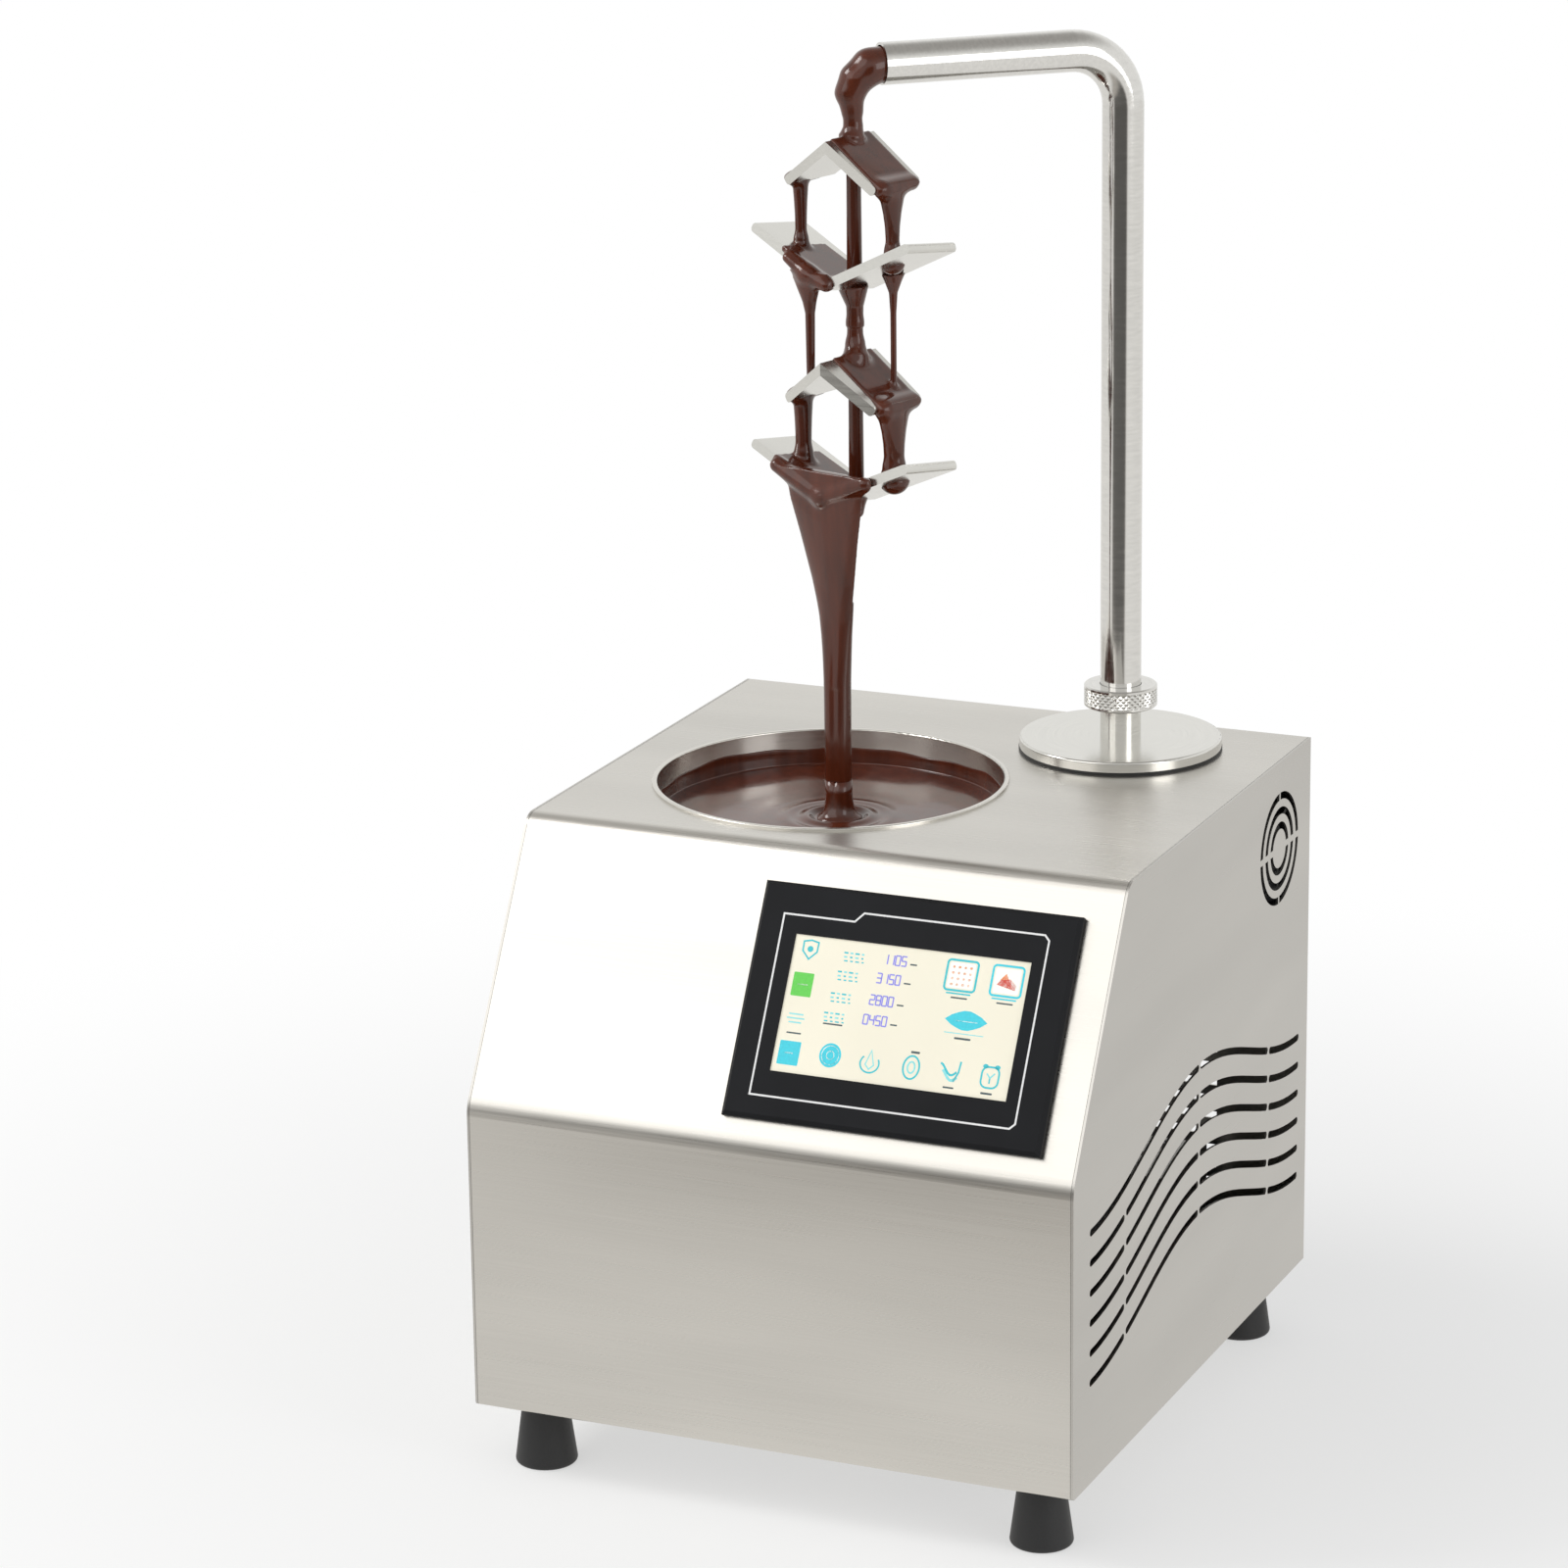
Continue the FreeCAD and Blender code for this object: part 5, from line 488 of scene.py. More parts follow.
def make_bath():
    """The pool in the bowl: flat with rings round the falling stream, and a coat up the wall."""
    foot = Vector((STREAM.x - BOWL.x, STREAM.y - BOWL.y))
    edge = BATH_RADIUS
    coat_top = CASE_TOP - 10.5 * MM

    def swell(x, y):
        """Height of the surface: a standing foot, a hollow and rings that die out."""
        reach = math.hypot(x - foot.x, y - foot.y) / MM
        ring = 1.9 * math.exp(-((reach - 19) / 4.5) ** 2) - 1.4 * math.exp(-((reach - 14.5) / 2.4) ** 2)
        ring += 0.9 * math.exp(-((reach - 31) / 5) ** 2)
        ring += 0.35 * math.exp(-reach / 55) * math.sin(reach / 5.2)
        slow = 0.25 * math.sin(x * 55 + 1.0) * math.cos(y * 43)
        return (ring + slow) * MM

    rings = 96
    segments = 220
    vertices, faces = [(0, 0, BATH_LEVEL + swell(0, 0))], []
    for ring in range(1, rings + 1):
        radius = edge * ring / rings * 0.994
        for step in range(segments):
            angle = 2 * math.pi * step / segments
            x, y = radius * math.cos(angle), radius * math.sin(angle)
            vertices.append((x, y, BATH_LEVEL + swell(x, y)))
    # A meniscus, the coat's inner face, its wavy top edge, and the bath's sides and bottom.
    wall = [
        (edge - 0.55 * MM, BATH_LEVEL + 0.9 * MM, 0.0),
        (edge - 0.40 * MM, BATH_LEVEL + 3 * MM, 0.25),
        (edge - 0.32 * MM, coat_top - 0.6 * MM, 1.0),
        (edge - 0.10 * MM, coat_top, 1.0),
        (edge, coat_top - 0.8 * MM, 1.0),
        (edge, BATH_LEVEL - 60 * MM, 0.0),
        (edge, BATH_LEVEL - 73 * MM, 0.0),
    ]
    corner_centre = BATH_LEVEL - 74 * MM
    corner = 25 * MM
    drop = math.radians(72)
    for part in range(1, 9):
        turn = drop * part / 8
        wall.append((edge - corner * (1 - math.cos(turn)), corner_centre - corner * math.sin(turn), 0.0))
    wall.append((12 * MM, BATH_BOTTOM + 2 * MM, 0.0))
    for radius, height, wave in wall:
        for step in range(segments):
            angle = 2 * math.pi * step / segments
            ripple = (0.9 * math.sin(3 * angle + 0.5) + 0.7 * math.sin(7 * angle + 2.0)
                      + 0.4 * math.sin(17 * angle)) * MM * wave
            vertices.append((radius * math.cos(angle), radius * math.sin(angle), height + ripple))
    vertices.append((0, 0, BATH_BOTTOM))
    last = len(vertices) - 1
    rows = rings + len(wall)
    for step in range(segments):
        following = (step + 1) % segments
        faces.append((0, 1 + step, 1 + following))
        end = 1 + (rows - 1) * segments
        faces.append((end + following, end + step, last))
        for row in range(rows - 1):
            a = 1 + row * segments
            faces.append((a + following, a + step, a + segments + step, a + segments + following))
    placed = [(x + BOWL.x, y + BOWL.y, z) for x, y, z in vertices]
    bath = new_piece("chocolate_pool", placed, faces, CHOCOLATE, "machine")
    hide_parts("chocolate_bath")


def make_splash():
    """The foot that the stream stands on, with a slightly lobed flare."""
    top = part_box("chocolate_splash")[1].z
    base = BATH_LEVEL - 1.2 * MM
    shape = ((0, base), (13.5, base), (13.6, base + 1.4 * MM), (12.0, base + 2.2 * MM),
             (10.6, base + 3.6 * MM), (9.4, base + 6.5 * MM), (8.6, base + 11 * MM), (8.1, base + 17 * MM),
             (7.95, top - 0.2 * MM), (0, top))
    profile = [(r * MM, z) for r, z in shape]

    def stream_edge(angle):
        """Reach of the stream's two lobes from its axis."""
        across, back = math.cos(angle + Liquid.TURN), math.sin(angle + Liquid.TURN)
        reach = []
        for a, b, half_a, half_b in LOBES:
            square = (across / half_a) ** 2 + (back / half_b) ** 2
            half = across * a / half_a ** 2 + back * b / half_b ** 2
            rest = (a / half_a) ** 2 + (b / half_b) ** 2 - 1
            reach.append((half + math.sqrt(half * half - square * rest)) / square)
        return max(reach) * MM

    def lobed(row, angle, radius, height):
        flare = radius * (1 + 0.035 * math.sin(3 * angle + 0.8) + 0.02 * math.sin(5 * angle))
        share = min(1, max(0, (height - base) / (top - base)))
        return flare + (stream_edge(angle) - flare) * share ** 1.5, height

    vertices, faces = lathe(profile, 72, lobed)
    placed = [(x + STREAM.x, y + STREAM.y, z) for x, y, z in vertices]
    foot = new_piece("chocolate_foot", placed, faces, CHOCOLATE, "machine")
    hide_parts("chocolate_splash")


class Liquid:
    """A liquid's shape as a distance field in millimetres, built up from blended forms.

    Its own axes are a, across the plates' folds, b, along them to the back, and z up from the
    table, with the cascade's rod at a = b = 0.
    """
    TURN = math.radians(16)
    STEP = 0.9
    LOW = np.array([-46.0, -42.0, 387.0])
    HIGH = np.array([46.0, 30.0, 836.0])

    def __init__(self):
        self.grid = [np.arange(low, high, self.STEP) for low, high in zip(self.LOW, self.HIGH)]
        self.field = np.full([len(g) for g in self.grid], 6.0, np.float32)

    def add(self, distance, low, high, blend):
        """Joins a form, given as a distance function, within a box."""
        ranges = []
        for grid, start, end in zip(self.grid, low, high):
            ranges.append(slice(*np.searchsorted(grid, (start, end))))
        a, b, z = (grid[part] for grid, part in zip(self.grid, ranges))
        new = distance(a[:, None, None], b[None, :, None], z[None, None, :])
        old = self.field[tuple(ranges)]
        share = np.clip(0.5 + 0.5 * (old - new) / blend, 0, 1)
        self.field[tuple(ranges)] = old + (new - old) * share - blend * share * (1 - share)

    def rope(self, start, end, start_radius, end_radius, blend=3.0):
        """A round run between two points whose radius changes evenly."""
        start, end = np.array(start, float), np.array(end, float)
        along = end - start
        reach = max(start_radius, end_radius) + 2 * blend

        def distance(a, b, z):
            share = ((a - start[0]) * along[0] + (b - start[1]) * along[1] + (z - start[2]) * along[2])
            share = np.clip(share / along.dot(along), 0, 1)
            apart = np.sqrt((a - start[0] - share * along[0]) ** 2 + (b - start[1] - share * along[1]) ** 2
                            + (z - start[2] - share * along[2]) ** 2)
            return apart - (start_radius + (end_radius - start_radius) * share)

        self.add(distance, np.minimum(start, end) - reach, np.maximum(start, end) + reach, blend)

    def film(self, fold, side, rise, along, across, through, lean=0.0, blend=2.0, edge=1.0):
        """A layer on a wing: side is -1 or 1, rise and lean its slopes in radians, then three ranges."""
        ranges = np.array([along, across, through], float)
        centre, half = ranges.mean(1), (ranges[:, 1] - ranges[:, 0]) / 2 - edge

        def distance(a, b, z):
            height = z - fold + b * math.tan(lean)
            u = side * a * math.cos(rise) + height * math.sin(rise)
            n = -side * a * math.sin(rise) + height * math.cos(rise)
            q = [np.abs(value - c) - h for value, c, h in zip((u, b, n), centre, half)]
            outside = np.sqrt(np.maximum(q[0], 0) ** 2 + np.maximum(q[1], 0) ** 2 + np.maximum(q[2], 0) ** 2)
            return outside + np.minimum(np.maximum(np.maximum(q[0], q[1]), q[2]), 0) - edge

        reach = along[1] + 12
        low = (-reach if side < 0 else -12, across[0] - 6, fold - reach)
        high = (12 if side < 0 else reach, across[1] + 6, fold + reach)
        self.add(distance, low, high, blend)

    def column(self, heights, centre_a, centre_b, radius_a, radius_b, blend=2.0):
        """An upright run with an oval section that changes with height."""
        def distance(a, b, z):
            ca, cb, ra, rb = (np.interp(z, heights, row) for row in (centre_a, centre_b, radius_a, radius_b))
            return (np.sqrt(((a - ca) / ra) ** 2 + ((b - cb) / rb) ** 2) - 1) * np.minimum(ra, rb)

        low = (self.LOW[0], self.LOW[1], heights[0])
        high = (self.HIGH[0], self.HIGH[1], heights[-1])
        self.add(distance, low, high, blend)

    def surface(self):
        """Vertices in row-frame metres and quads on the field's zero level."""
        field = self.field
        inside = field < 0
        cells = [n - 1 for n in field.shape]
        total = np.zeros(cells + [3], np.float32)
        count = np.zeros(cells, np.int16)
        crossings = []
        for axis in range(3):
            lower = [slice(None)] * 3
            upper = [slice(None)] * 3
            lower[axis], upper[axis] = slice(0, -1), slice(1, None)
            f0, f1 = field[tuple(lower)], field[tuple(upper)]
            crossed = inside[tuple(lower)] != inside[tuple(upper)]
            share = np.where(crossed, f0 / np.where(crossed, f0 - f1, 1), 0)
            crossings.append((crossed, inside[tuple(lower)]))
            others = [k for k in range(3) if k != axis]
            for first in (0, 1):
                for second in (0, 1):
                    part = [slice(None)] * 3
                    part[others[0]] = slice(first, cells[others[0]] + first)
                    part[others[1]] = slice(second, cells[others[1]] + second)
                    hit = crossed[tuple(part)]
                    count += hit
                    total[..., axis] += np.where(hit, share[tuple(part)], 0)
                    total[..., others[0]] += hit * first
                    total[..., others[1]] += hit * second
        used = count > 0
        number = np.full(cells, -1, np.int64)
        number[used] = np.arange(used.sum())
        corner = np.argwhere(used)
        points = corner + total[used] / count[used][:, None]
        points = points * self.STEP + self.LOW
        quads = []
        for axis, (crossed, start_inside) in enumerate(crossings):
            others = [k for k in range(3) if k != axis]
            where = np.argwhere(crossed)
            keep = np.all([(where[:, k] > 0) & (where[:, k] < cells[k]) for k in others], axis=0)
            where = where[keep]
            ring = []
            for first, second in ((1, 1), (0, 1), (0, 0), (1, 0)):
                cell = where.copy()
                cell[:, others[0]] -= first
                cell[:, others[1]] -= second
                ring.append(number[tuple(cell.T)])
            ring = np.stack(ring, 1)
            flip = start_inside[tuple(where.T)]
            if axis == 1:
                flip = ~flip
            ring[~flip] = ring[~flip][:, ::-1]
            quads.append(ring)
        c, s = math.cos(self.TURN), math.sin(self.TURN)
        a, b, z = points.T
        world = np.stack([ROD.x + (a * c + b * s) * MM, ROD.y + (-a * s + b * c) * MM, z * MM], 1)
        return world, np.concatenate(quads)


ROOF_RISE = -math.atan2(25, 35)
UPPER_RISE = math.atan2(29, 60)
LOWER_RISE = math.atan2(26.5, 60)
PLATE = 6.0
UPPER_FRONT, LOWER_FRONT = -27.3, -29.8
# The stream's two lobes at its foot: centre across and to the back of its axis, then half sizes.
LOBES = ((-2.2, 0.0, 6.0, 7.0), (3.2, 0.6, 4.9, 6.2))


def draw_strand(liquid, low, high, a, b, lip, radius):
    """A funnel that hangs from a lip (half its depth and half its length) and thins to a strand."""
    heights = (low, high - 30, high - 20, high - 12, high - 5, high + 2)
    shares = (0, 0.03, 0.18, 0.45, 0.8, 1)
    liquid.column(heights, [a] * 6, [b] * 6, [radius + (lip[0] - radius) * share for share in shares],
                  [radius + (lip[1] - radius) * share for share in shares], 3.5)


def make_falls():
    """Chocolate on the cascade: neck, films, strands and the main stream, as one form."""
    liquid = Liquid()
    first, second, third, fourth = (FOLD[name] / MM for name in ("upper_roof", "upper_trough", "lower_roof",
                                                                "lower_trough"))
    mouth_z = MOUTH_HEIGHT / MM
    # From the spout's mouth, behind and right of the rod, down on the upper roof.
    neck = [((9.6, 15.6, mouth_z), 10.2), ((5.5, 9.0, mouth_z - 1.5), 10.4), ((1.0, 2.0, mouth_z - 8), 9.2),
            ((-1.2, -1.0, mouth_z - 16), 8.2), ((-0.3, -0.4, mouth_z - 26), 5.6), ((0, 0, first + 5), 4.9),
            ((0, -1, first), 8.0)]
    for (start, start_radius), (end, end_radius) in zip(neck, neck[1:]):
        liquid.rope(start, end, start_radius, end_radius, 4)

    # Layers on the roofs' wings behind their bare front edges, and lips along the low edges.
    for fold, right_lip, left_lip in ((first, 4.8, 3.6), (third, 5.4, 4.4)):
        edge_z = fold - 26.5
        liquid.film(fold, 1, ROOF_RISE, (-1, 45), (-20.5, 15), (-3.5, 1.1))
        liquid.film(fold, -1, ROOF_RISE, (24, 45), (-19, 14), (-3.5, 0.7))
        liquid.rope((34, -14, edge_z), (34, 11, edge_z + 0.5), right_lip, right_lip - 1.6, 6)
        liquid.rope((-34, -14, edge_z), (-34, 8, edge_z), left_lip, left_lip - 1.4, 6)

    # Strands from the roofs' lips to the troughs, and the coat on the rod.
    for roof, trough, rise, right, left in (
            (first, second, UPPER_RISE, ((5.0, 10.5), 3.9), ((4.2, 5.5), 3.4)),
            (third, fourth, LOWER_RISE, ((5.6, 13.5), 5.9), ((5.2, 7.0), 4.8))):
        landing = trough + 33 * math.tan(rise) + PLATE
        draw_strand(liquid, landing, roof - 29, 33.6, -6.0, *right)
        draw_strand(liquid, landing, roof - 29, -33.4, -8.5, *left)
        liquid.rope((33.6, -6.0, landing + 5), (33.6, -6.0, landing - 1), right[1], right[1] + 3.5, 5)
        liquid.rope((-33.4, -8.5, landing + 5), (-33.4, -8.5, landing - 1), left[1], left[1] + 3.5, 5)
        liquid.rope((0, 0, roof - 8), (0, 0, trough + 4), 4.3, 4.6, 3)

    # The troughs' pools reach out to where the strands land.
    for fold, rise, front, left_reach, right_reach in (
            (second, UPPER_RISE, UPPER_FRONT, 40, 42), (fourth, LOWER_RISE, LOWER_FRONT, 46, 46)):
        liquid.film(fold, -1, rise, (-2, left_reach), (front + 1, 13), (3, PLATE + 1.1), TROUGH_LEAN)
        liquid.film(fold, 1, rise, (-2, right_reach), (front + 6, 13), (3, PLATE + 0.9), TROUGH_LEAN)

    def front_place(fold, rise, front, a, sink=0.0):
        """The middle of a trough's front edge, a millimetres from the fold."""
        height = fold + abs(a) * math.tan(rise) + PLATE / 2 - front * math.tan(TROUGH_LEAN)
        return (a, front - 0.6, height - sink)

    # The upper trough spills over its left front edge into a strand; a drop feeds one behind it.
    def upper(a, sink=0.0):
        return front_place(second, UPPER_RISE, UPPER_FRONT, a, sink)

    liquid.rope(upper(-28), upper(-14, 1), 3.0, 4.6, 4)
    liquid.rope(upper(-14, 1), upper(1), 4.6, 4.0, 4)
    liquid.column((third - 12, second - 12, second - 5, second + 2, second + 9, second + 14),
                  [-14] * 5 + [-13], (-24.5, -24.5, -25, -26, -27, -27.5),
                  (2.5, 3.0, 4.6, 7.5, 10.5, 11), (2.5, 2.9, 3.6, 4.0, 3.6, 2.0), 4)
    liquid.column((second - 22, second - 10, second - 4, second + 3), [0] * 4, (0, 0, -1, -2),
                  (4.8, 5.2, 7.5, 10), (4.8, 5.2, 7.0, 9), 3)
    liquid.rope((0, 0, second - 20), (0, 0, third + 1), 4.8, 4.8, 3)
    liquid.rope((0, 0, third + 5), (2, -2, third - 1), 5.0, 8.0, 5)
    drop_z = second + 25 * math.tan(UPPER_RISE)
    liquid.column((third - 22, drop_z - 24, drop_z - 12, drop_z - 5, drop_z), [25] * 5, [5] * 5,
                  (1.8, 1.9, 2.6, 5.0, 7.0), (1.8, 1.9, 2.6, 5.5, 8.0), 3)

    # The lower trough spills over most of its front edge, and the sheet draws in to the stream.
    def lower(a, sink=0.0):
        return front_place(fourth, LOWER_RISE, LOWER_FRONT, a, sink)

    liquid.rope(lower(-36), lower(-2), 4.2, 5.0, 4)
    liquid.rope(lower(-2), lower(30), 5.0, 4.2, 4)
    offset = (STREAM.x - ROD.x, STREAM.y - ROD.y)
    c, s = math.cos(Liquid.TURN), math.sin(Liquid.TURN)
    stream_a = (offset[0] * c - offset[1] * s) / MM
    stream_b = (offset[0] * s + offset[1] * c) / MM
    levels = (446, 462, 484, 505, 530, 548, fourth + 8)
    centres = [stream_b + d for d in (0, -0.2, -1, -3, -6.5, -9, -10.3)]
    widths = (6.5, 8, 11.5, 16, 22, 27, 30)
    depths = (5, 5, 4.6, 4.0, 3.6, 3.4, 3.2)

    def draped(a, b, z):
        """The sheet under the front edge: its top follows the trough's two wings."""
        level = z - np.abs(a) * math.tan(LOWER_RISE)
        centre, half_a, half_b = (np.interp(level, levels, row) for row in (centres, widths, depths))
        return (np.sqrt((a / half_a) ** 2 + ((b - centre) / half_b) ** 2) - 1) * np.minimum(half_a, half_b)

    liquid.add(draped, (-42, -42, levels[0]), (42, -5, fourth + 24), 3)
    heights = (STREAM_BOTTOM / MM - 0.8, 413, 450, 478, 500)
    for (a, b, half_a, half_b), apart in zip(LOBES, (-1, 1)):
        liquid.column(heights, [stream_a + a + apart * d for d in (0, 0.1, 0.4, 1.4, 3.5)],
                      [stream_b + b] * 5, [half_a + d for d in (0, -0.2, 0, 0.6, 0.5)],
                      [half_b + d for d in (0, -0.2, -0.5, -1.4, -3.4)], 1.8)
    # The rod's end hangs in a drop under the lower fold.
    liquid.rope((0, 0, fourth + 3), (0, 0, fourth - 6), 6.5, 4.4, 4)
    vertices, faces = liquid.surface()
    falls = new_piece("chocolate_cascade", vertices, faces, CHOCOLATE, "cascade")
    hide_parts("chocolate_falls", "chocolate_stream")


def make_union_nut():
    """The union nut with its diamond knurl between two smooth rims."""
    outer = (NUT_HIGH.x - NUT_LOW.x) / 2
    height = NUT_HIGH.z - NUT_LOW.z
    neck, inside, shoulder = 12.8 * MM, 17.8 * MM, height - 4.5 * MM
    rims = 2.4 * MM
    rows = [(outer - 0.9 * MM, 0), (outer - 0.1 * MM, 0.7 * MM), (outer - 0.1 * MM, rims - 0.4 * MM)]
    knurl_rows = 21
    low, high = rims, height - rims
    for row in range(knurl_rows):
        rows.append((outer, low + (high - low) * row / (knurl_rows - 1)))
    rows += [(outer - 0.1 * MM, height - rims + 0.4 * MM), (outer - 0.1 * MM, height - 0.7 * MM),
             (outer - 0.9 * MM, height), (neck, height), (neck, shoulder), (inside, shoulder), (inside, 0)]
    segments = 36 * 10
    depth, count, pitch = 0.9 * MM, 36, (high - low) / 2.5
    vertices, faces = [], []
    for row, (radius, z) in enumerate(rows):
        knurled = 3 <= row < 3 + knurl_rows
        for step in range(segments):
            angle = 2 * math.pi * step / segments
            r = radius
            if knurled:
                up = count * angle / (2 * math.pi)
                waves = [abs((up + way * (z - low) / pitch) % 1 - 0.5) * 2 for way in (-1, 1)]
                r -= depth * (1 - min(waves))
            vertices.append((PUMP.x + r * math.cos(angle), PUMP.y + r * math.sin(angle), NUT_LOW.z + z))
    count_rows = len(rows)
    for row in range(count_rows):
        for step in range(segments):
            a, b = row * segments, ((row + 1) % count_rows) * segments
            following = (step + 1) % segments
            faces.append((a + step, a + following, b + following, b + step))
    nut = new_piece("knurled_nut", vertices, faces, TUBE_STEEL, "union", smooth=False)
    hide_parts("union_nut")


# Touch panel: places in millimetres on the slope, x across and s up from the bend.

DISPLAY_LOW, DISPLAY_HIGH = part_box("panel_display")
LEAN = math.radians(30)
SLOPE_UP = Vector((0, math.sin(LEAN), math.cos(LEAN)))
SLOPE_OUT = Vector((0, -math.cos(LEAN), math.sin(LEAN)))
BEND = 231 * MM
SLOPE_FOOT = Vector((0, CASE_FRONT, BEND))
# The display's front face and the bezel's, measured out from the slope.
DISPLAY_FACE = max((v.co - SLOPE_FOOT).dot(SLOPE_OUT) for v in NODES["panel_display"].data.vertices)
BEZEL_FACE = max((v.co - SLOPE_FOOT).dot(SLOPE_OUT) for v in NODES["panel_bezel"].data.vertices)
SCREEN_S = sorted((v.co - SLOPE_FOOT).dot(SLOPE_UP) for v in NODES["panel_display"].data.vertices)
SCREEN_BOTTOM, SCREEN_TOP = SCREEN_S[0], SCREEN_S[-1]
SCREEN_LEFT, SCREEN_RIGHT = DISPLAY_LOW.x, DISPLAY_HIGH.x


def on_slope(x, s, out):
    return SLOPE_FOOT + Vector((x, 0, 0)) + SLOPE_UP * s + SLOPE_OUT * out


class Print:
    """Flat closed shapes of one colour that stand a hair above a face."""

    def __init__(self, name, material, face, slot, lift=0.05 * MM):
        self.name, self.material, self.face, self.slot, self.lift = name, material, face, slot, lift
        self.vertices, self.faces = [], []

    def polygon(self, points):
        """Points are (x, s) in metres, anticlockwise."""
        start = len(self.vertices)
        n = len(points)
        for out in (self.face + 0.01 * MM, self.face + 0.01 * MM + self.lift):
            self.vertices += [on_slope(x, s, out) for x, s in points]
        self.faces.append(tuple(start + n + i for i in range(n)))
        self.faces.append(tuple(start + n - 1 - i for i in range(n)))
        for i in range(n):
            j = (i + 1) % n
            self.faces.append((start + i, start + j, start + n + j, start + n + i))

    def band(self, points, width, closed=True):
        """A strip along a line of points."""
        n = len(points)
        left, right = [], []
        for i, point in enumerate(points):
            here = Vector(point)
            before = Vector(points[i - 1]) if closed or i else here
            after = Vector(points[(i + 1) % n]) if closed or i < n - 1 else here
            if before == here:
                before = here - (after - here)
            if after == here:
                after = here + (here - before)
            first, second = (here - before).normalized(), (after - here).normalized()
            normal = Vector((-first.y - second.y, first.x + second.x))
            normal /= max(0.3, normal.length_squared / 2)
            left.append(here + normal * width / 2)
            right.append(here - normal * width / 2)
        pieces = n if closed else n - 1
        for i in range(pieces):
            j = (i + 1) % n
            self.polygon([right[i], right[j], left[j], left[i]])

    def make(self):
        new_piece(self.name, self.vertices, self.faces, self.material, "machine", smooth=False)


def oval(x, s, width, height, steps=28, start=0.0, end=2 * math.pi):
    return [(x + width / 2 * math.cos(start + (end - start) * i / steps),
             s + height / 2 * math.sin(start + (end - start) * i / steps)) for i in range(steps)]


def rounded(x, s, width, height, radius, steps=5):
    """Corner points of a rounded rectangle about (x, s), anticlockwise."""
    points = []
    for number, (sx, sy) in enumerate(((1, 1), (-1, 1), (-1, -1), (1, -1))):
        cx, cy = x + sx * (width / 2 - radius), s + sy * (height / 2 - radius)
        for step in range(steps + 1):
            angle = math.pi / 2 * (number + step / steps)
            points.append((cx + radius * math.cos(angle), cy + radius * math.sin(angle)))
    return points


def make_outline():
    """White line on the bezel, with a step down over its left third."""
    white = plain("outline_white", (0.85, 0.85, 0.85), 0.35)
    line = Print("panel_outline", white, BEZEL_FACE, "bezel_black", 0.04 * MM)
    left, right, low, high, step = -12 * MM, 151 * MM, 29 * MM, 141.5 * MM, 136 * MM
    corner = 3 * MM
    points = [(left, low), (right - corner, low), (right, low + corner), (right, high - corner),
              (right - corner, high), (37 * MM, high), (32 * MM, step), (left, step)]
    line.band(points, 1.1 * MM)
    line.make()


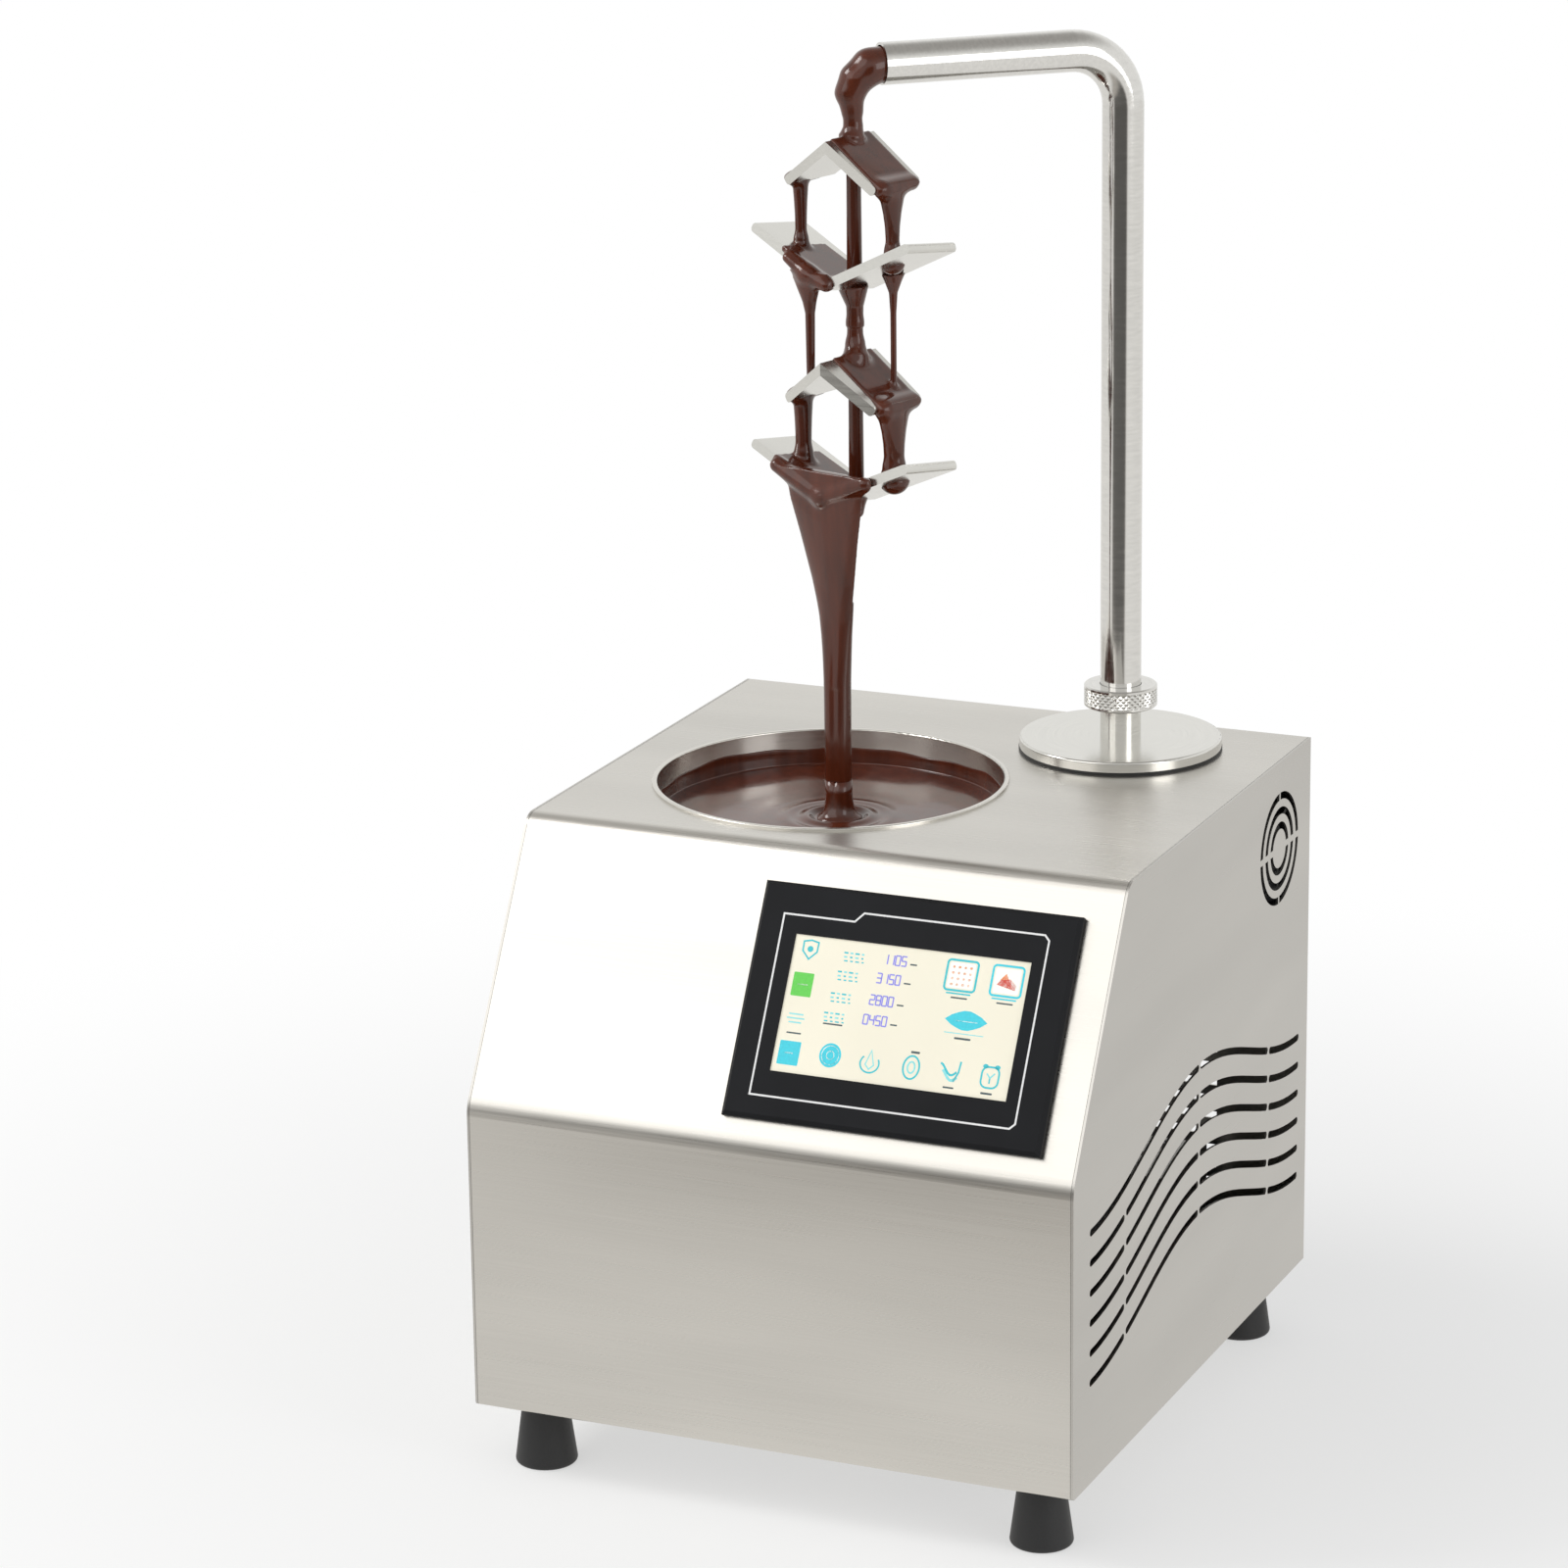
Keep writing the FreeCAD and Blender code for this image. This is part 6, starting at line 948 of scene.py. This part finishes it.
def make_screen():
    """Generic symbols and numbers on the display."""
    def at(u, v):
        """A place from its share across and down the display."""
        return (SCREEN_LEFT + (SCREEN_RIGHT - SCREEN_LEFT) * u, SCREEN_TOP - (SCREEN_TOP - SCREEN_BOTTOM) * v)

    ink_glow = 0.21
    cream = Shader("display_cream", (0.80, 0.76, 0.62), 0.18)
    wash = cream.noise(cream.place((1, 1, 1)), 12.0, detail=1)
    cream.tint(cream.spread(wash, 0, 1), 0.95, 1.04)
    cream.set("Emission Color", (0.80, 0.76, 0.62, 1))
    cream.set("Emission Strength", 0.22)
    mesh = NODES["panel_display"].data
    mesh.materials.clear()
    mesh.materials.append(cream.material)

    inks = {name: Print(f"display_{name}", plain(f"ink_{name}", color, 0.25, ink_glow), DISPLAY_FACE,
                        "display", 0.03 * MM)
            for name, color in {
                "teal": (0.03, 0.48, 0.54), "pale_teal": (0.22, 0.66, 0.68), "violet": (0.22, 0.22, 0.72),
                "green": (0.10, 0.55, 0.06), "dark": (0.04, 0.07, 0.08), "orange": (0.85, 0.30, 0.10),
                "red": (0.72, 0.08, 0.05), "aqua": (0.03, 0.55, 0.66), "light": (0.86, 0.90, 0.84),
            }.items()}
    teal, dark, pale = inks["teal"], inks["dark"], inks["pale_teal"]

    def block(ink, u, v, width, height, radius=0.6):
        ink.polygon(rounded(*at(u, v), width * MM, height * MM, radius * MM))

    def frame_line(ink, u, v, width, height, line, radius=1.2):
        ink.band(rounded(*at(u, v), width * MM, height * MM, radius * MM), line * MM)

    # Left column.
    x, s = at(0.071, 0.102)
    shield = [(x - 4.6 * MM, s + 4.6 * MM), (x, s + 5.6 * MM), (x + 4.6 * MM, s + 4.6 * MM),
              (x + 4.4 * MM, s - 1.0 * MM), (x, s - 5.6 * MM), (x - 4.4 * MM, s - 1.0 * MM)]
    teal.band(shield, 1.0 * MM)
    teal.polygon(oval(x, s + 0.4 * MM, 3.6 * MM, 3.6 * MM))
    block(inks["green"], 0.066, 0.358, 12.5, 14.0)
    block(inks["light"], 0.066, 0.358, 6.5, 0.8, 0.3)
    for row, (ink, width) in enumerate(((pale, 9), (pale, 11), (pale, 8))):
        block(ink, 0.065, 0.575 + 0.03 * row, width, 0.8, 0.3)
    block(dark, 0.069, 0.712, 9, 0.9, 0.3)
    block(inks["aqua"], 0.065, 0.858, 13.0, 14.0)
    block(inks["light"], 0.065, 0.858, 5.0, 0.8, 0.3)

    # Four rows: a label made of bars, a number, and a dash for its unit.
    numbers = ("1105", "3150", "2800", "0450")
    for row, v in enumerate((0.11, 0.25, 0.41, 0.555)):
        shift = -0.012 * row
        for column, width in enumerate((2.6, 2.0, 2.8, 1.6)):
            u = 0.225 + shift + 0.024 * column
            block(teal if column % 2 == 0 else pale, u, v - 0.018, width, 1.0, 0.3)
            block(pale if column % 2 == 0 else teal, u, v + 0.012, width * 0.8, 1.0, 0.3)
            block(teal, u + 0.004, v + 0.04, width * 0.9, 0.8, 0.3)
        digits(numbers[row], *at(0.385 + shift, v + 0.028), 5.6 * MM, inks["violet"])
        block(dark, 0.515 + shift, v + 0.01, 4.2, 0.9, 0.3)
    block(dark, 0.225, 0.615, 12, 0.9, 0.3)

    # Two framed pictures, a lens shape and its dash on the right.
    for u, ink in ((0.721, teal), (0.913, inks["aqua"])):
        frame_line(ink, u, 0.154, 18.6, 17.6, 1.3, 2.0)
        block(inks["light"], u, 0.154, 15.6, 14.6, 1.2)
        block(ink, u, 0.285, 15.0, 0.9, 0.3)
        block(dark, u + 0.006, 0.315, 10.0, 0.9, 0.3)
    for row in range(4):
        for column in range(4):
            x, s = at(0.721 + 0.024 * (column - 1.5), 0.158 + 0.042 * (row - 1.5))
            inks["orange"].polygon(oval(x, s, (1.5 + 0.3 * ((row + column) % 2)) * MM, 1.5 * MM, 12))
    x, s = at(0.913, 0.156)
    inks["orange"].polygon([(x - 1 * MM, s + 4.5 * MM), (x - 4.5 * MM, s + 0.5 * MM),
                            (x + 1 * MM, s + 1 * MM)])
    inks["red"].polygon([(x - 6 * MM, s - 2.4 * MM), (x + 5.5 * MM, s - 4.8 * MM), (x + 6 * MM, s - 2.0 * MM),
                         (x + 2 * MM, s + 1.6 * MM), (x - 4 * MM, s + 0.5 * MM)])
    x, s = at(0.775, 0.469)
    lens = [(x - 13 * MM, s)] + [(x + 13 * MM * t, s - 6.2 * MM * (1 - abs(t)) ** 0.75 * (1 + 0.2 * abs(t)))
                                 for t in (-0.7, -0.4, -0.15, 0.15, 0.4, 0.7)]
    lens += [(x + 13 * MM, s)] + [(x + 13 * MM * t, s + 6.2 * MM * (1 - abs(t)) ** 0.75 * (1 + 0.2 * abs(t)))
                                  for t in (0.7, 0.4, 0.15, -0.15, -0.4, -0.7)]
    inks["aqua"].polygon(lens)
    block(inks["light"], 0.775, 0.475, 14, 0.5, 0.2)
    block(pale, 0.775, 0.565, 24, 0.5, 0.2)
    block(dark, 0.773, 0.60, 10, 1.2, 0.5)

    # Bottom row: a round fan, a drop, a tall oval, a leaf and a clock.
    x, s = at(0.24, 0.837)
    inks["aqua"].polygon(oval(x, s, 13.4 * MM, 14.2 * MM))
    inks["light"].band(oval(x, s, 10.6 * MM, 11.2 * MM), 0.5 * MM)
    inks["light"].band(oval(x, s, 4.6 * MM, 5.0 * MM, 16), 0.6 * MM)
    x, s = at(0.41, 0.843)
    drop = oval(x, s - 1.2 * MM, 11.5 * MM, 10.8 * MM, 20, -1.25 * math.pi, 0.25 * math.pi)
    teal.band(drop, 1.0 * MM, closed=False)
    pale.band([(x - 2.6 * MM, s - 2 * MM), (x, s + 6.4 * MM), (x + 2.6 * MM, s - 2 * MM),
               (x, s - 4.6 * MM)], 0.8 * MM)
    x, s = at(0.585, 0.84)
    teal.band(oval(x, s - 0.6 * MM, 9.8 * MM, 13.4 * MM), 1.1 * MM)
    pale.band(oval(x, s - 0.6 * MM, 4.4 * MM, 6.6 * MM, 18), 1.0 * MM)
    block(dark, 0.592, 0.738, 5.4, 1.3, 0.5)
    x, s = at(0.749, 0.83)
    wave = [(x + (t - 0.5) * 13 * MM, s + (2.6 * math.cos(t * 6.0) - 2.4 * t + 1.0) * MM) for t in
            (0, 0.1, 0.2, 0.3, 0.4, 0.5, 0.6, 0.7, 0.8)]
    teal.band(wave, 1.3 * MM, closed=False)
    pale.band([(p[0] + 0.6 * MM, p[1] - 3.0 * MM) for p in wave[1:]], 1.6 * MM, closed=False)
    teal.band([(x + 5.6 * MM, s + 5.6 * MM), (x + 5.0 * MM, s - 1 * MM), (x + 2.6 * MM, s - 6.4 * MM)],
              1.1 * MM, closed=False)
    block(dark, 0.752, 0.955, 6.6, 1.0, 0.4)
    frame_line(teal, 0.916, 0.846, 10.4, 12.0, 1.1, 3.6)
    x, s = at(0.916, 0.846)
    pale.band([(x - 2.2 * MM, s + 2.2 * MM), (x, s - 0.4 * MM), (x + 2.6 * MM, s + 2.6 * MM)],
              0.9 * MM, closed=False)
    teal.band([(x, s - 0.4 * MM), (x, s - 3.6 * MM)], 0.9 * MM, closed=False)
    for side in (-1, 1):
        teal.polygon(oval(x + side * 3.6 * MM, s + 6.2 * MM, 3.4 * MM, 2.6 * MM, 14))
    block(dark, 0.912, 0.962, 7.0, 1.2, 0.5)
    for ink in inks.values():
        ink.make()


SEGMENTS = {"0": "abcdef", "1": "bc", "2": "abdeg", "3": "abcdg", "4": "bcfg", "5": "acdfg", "8": "abcdefg"}


def digits(text, x, s, height, ink):
    """Seven-segment numbers, standing on (x, s)."""
    width, line = height * 0.5, height * 0.14
    for number, sign in enumerate(text):
        left = x + number * height * 0.68
        ends = {"a": ((0, 1), (1, 1)), "b": ((1, 1), (1, 0.5)), "c": ((1, 0.5), (1, 0)),
                "d": ((0, 0), (1, 0)), "e": ((0, 0), (0, 0.5)), "f": ((0, 0.5), (0, 1)),
                "g": ((0, 0.5), (1, 0.5))}
        for name in SEGMENTS[sign]:
            (x0, s0), (x1, s1) = ends[name]
            ink.band([(left + x0 * width, s + s0 * height), (left + x1 * width, s + s1 * height)], line,
                     closed=False)


make_camera()
make_world()
make_floor()
area_light("softbox", (-1.24, -2.34, 2.28), (0, -0.1, 0.3), (2.4, 2.4), 19, (1, 0.99, 0.97))
area_light("key", (-2.2, -0.9, 2.6), (0, 0, 0.3), (1.2, 1.2), 42, (1, 0.99, 0.98))
area_light("fill", (2.6, -0.8, 1.2), (0, 0, 0.25), (1.2, 1.6), 12)
finish_nodes()
make_bath()
make_splash()
make_falls()
make_union_nut()
make_outline()
make_screen()

view = bpy.context.scene.view_settings
view.view_transform = "Standard"
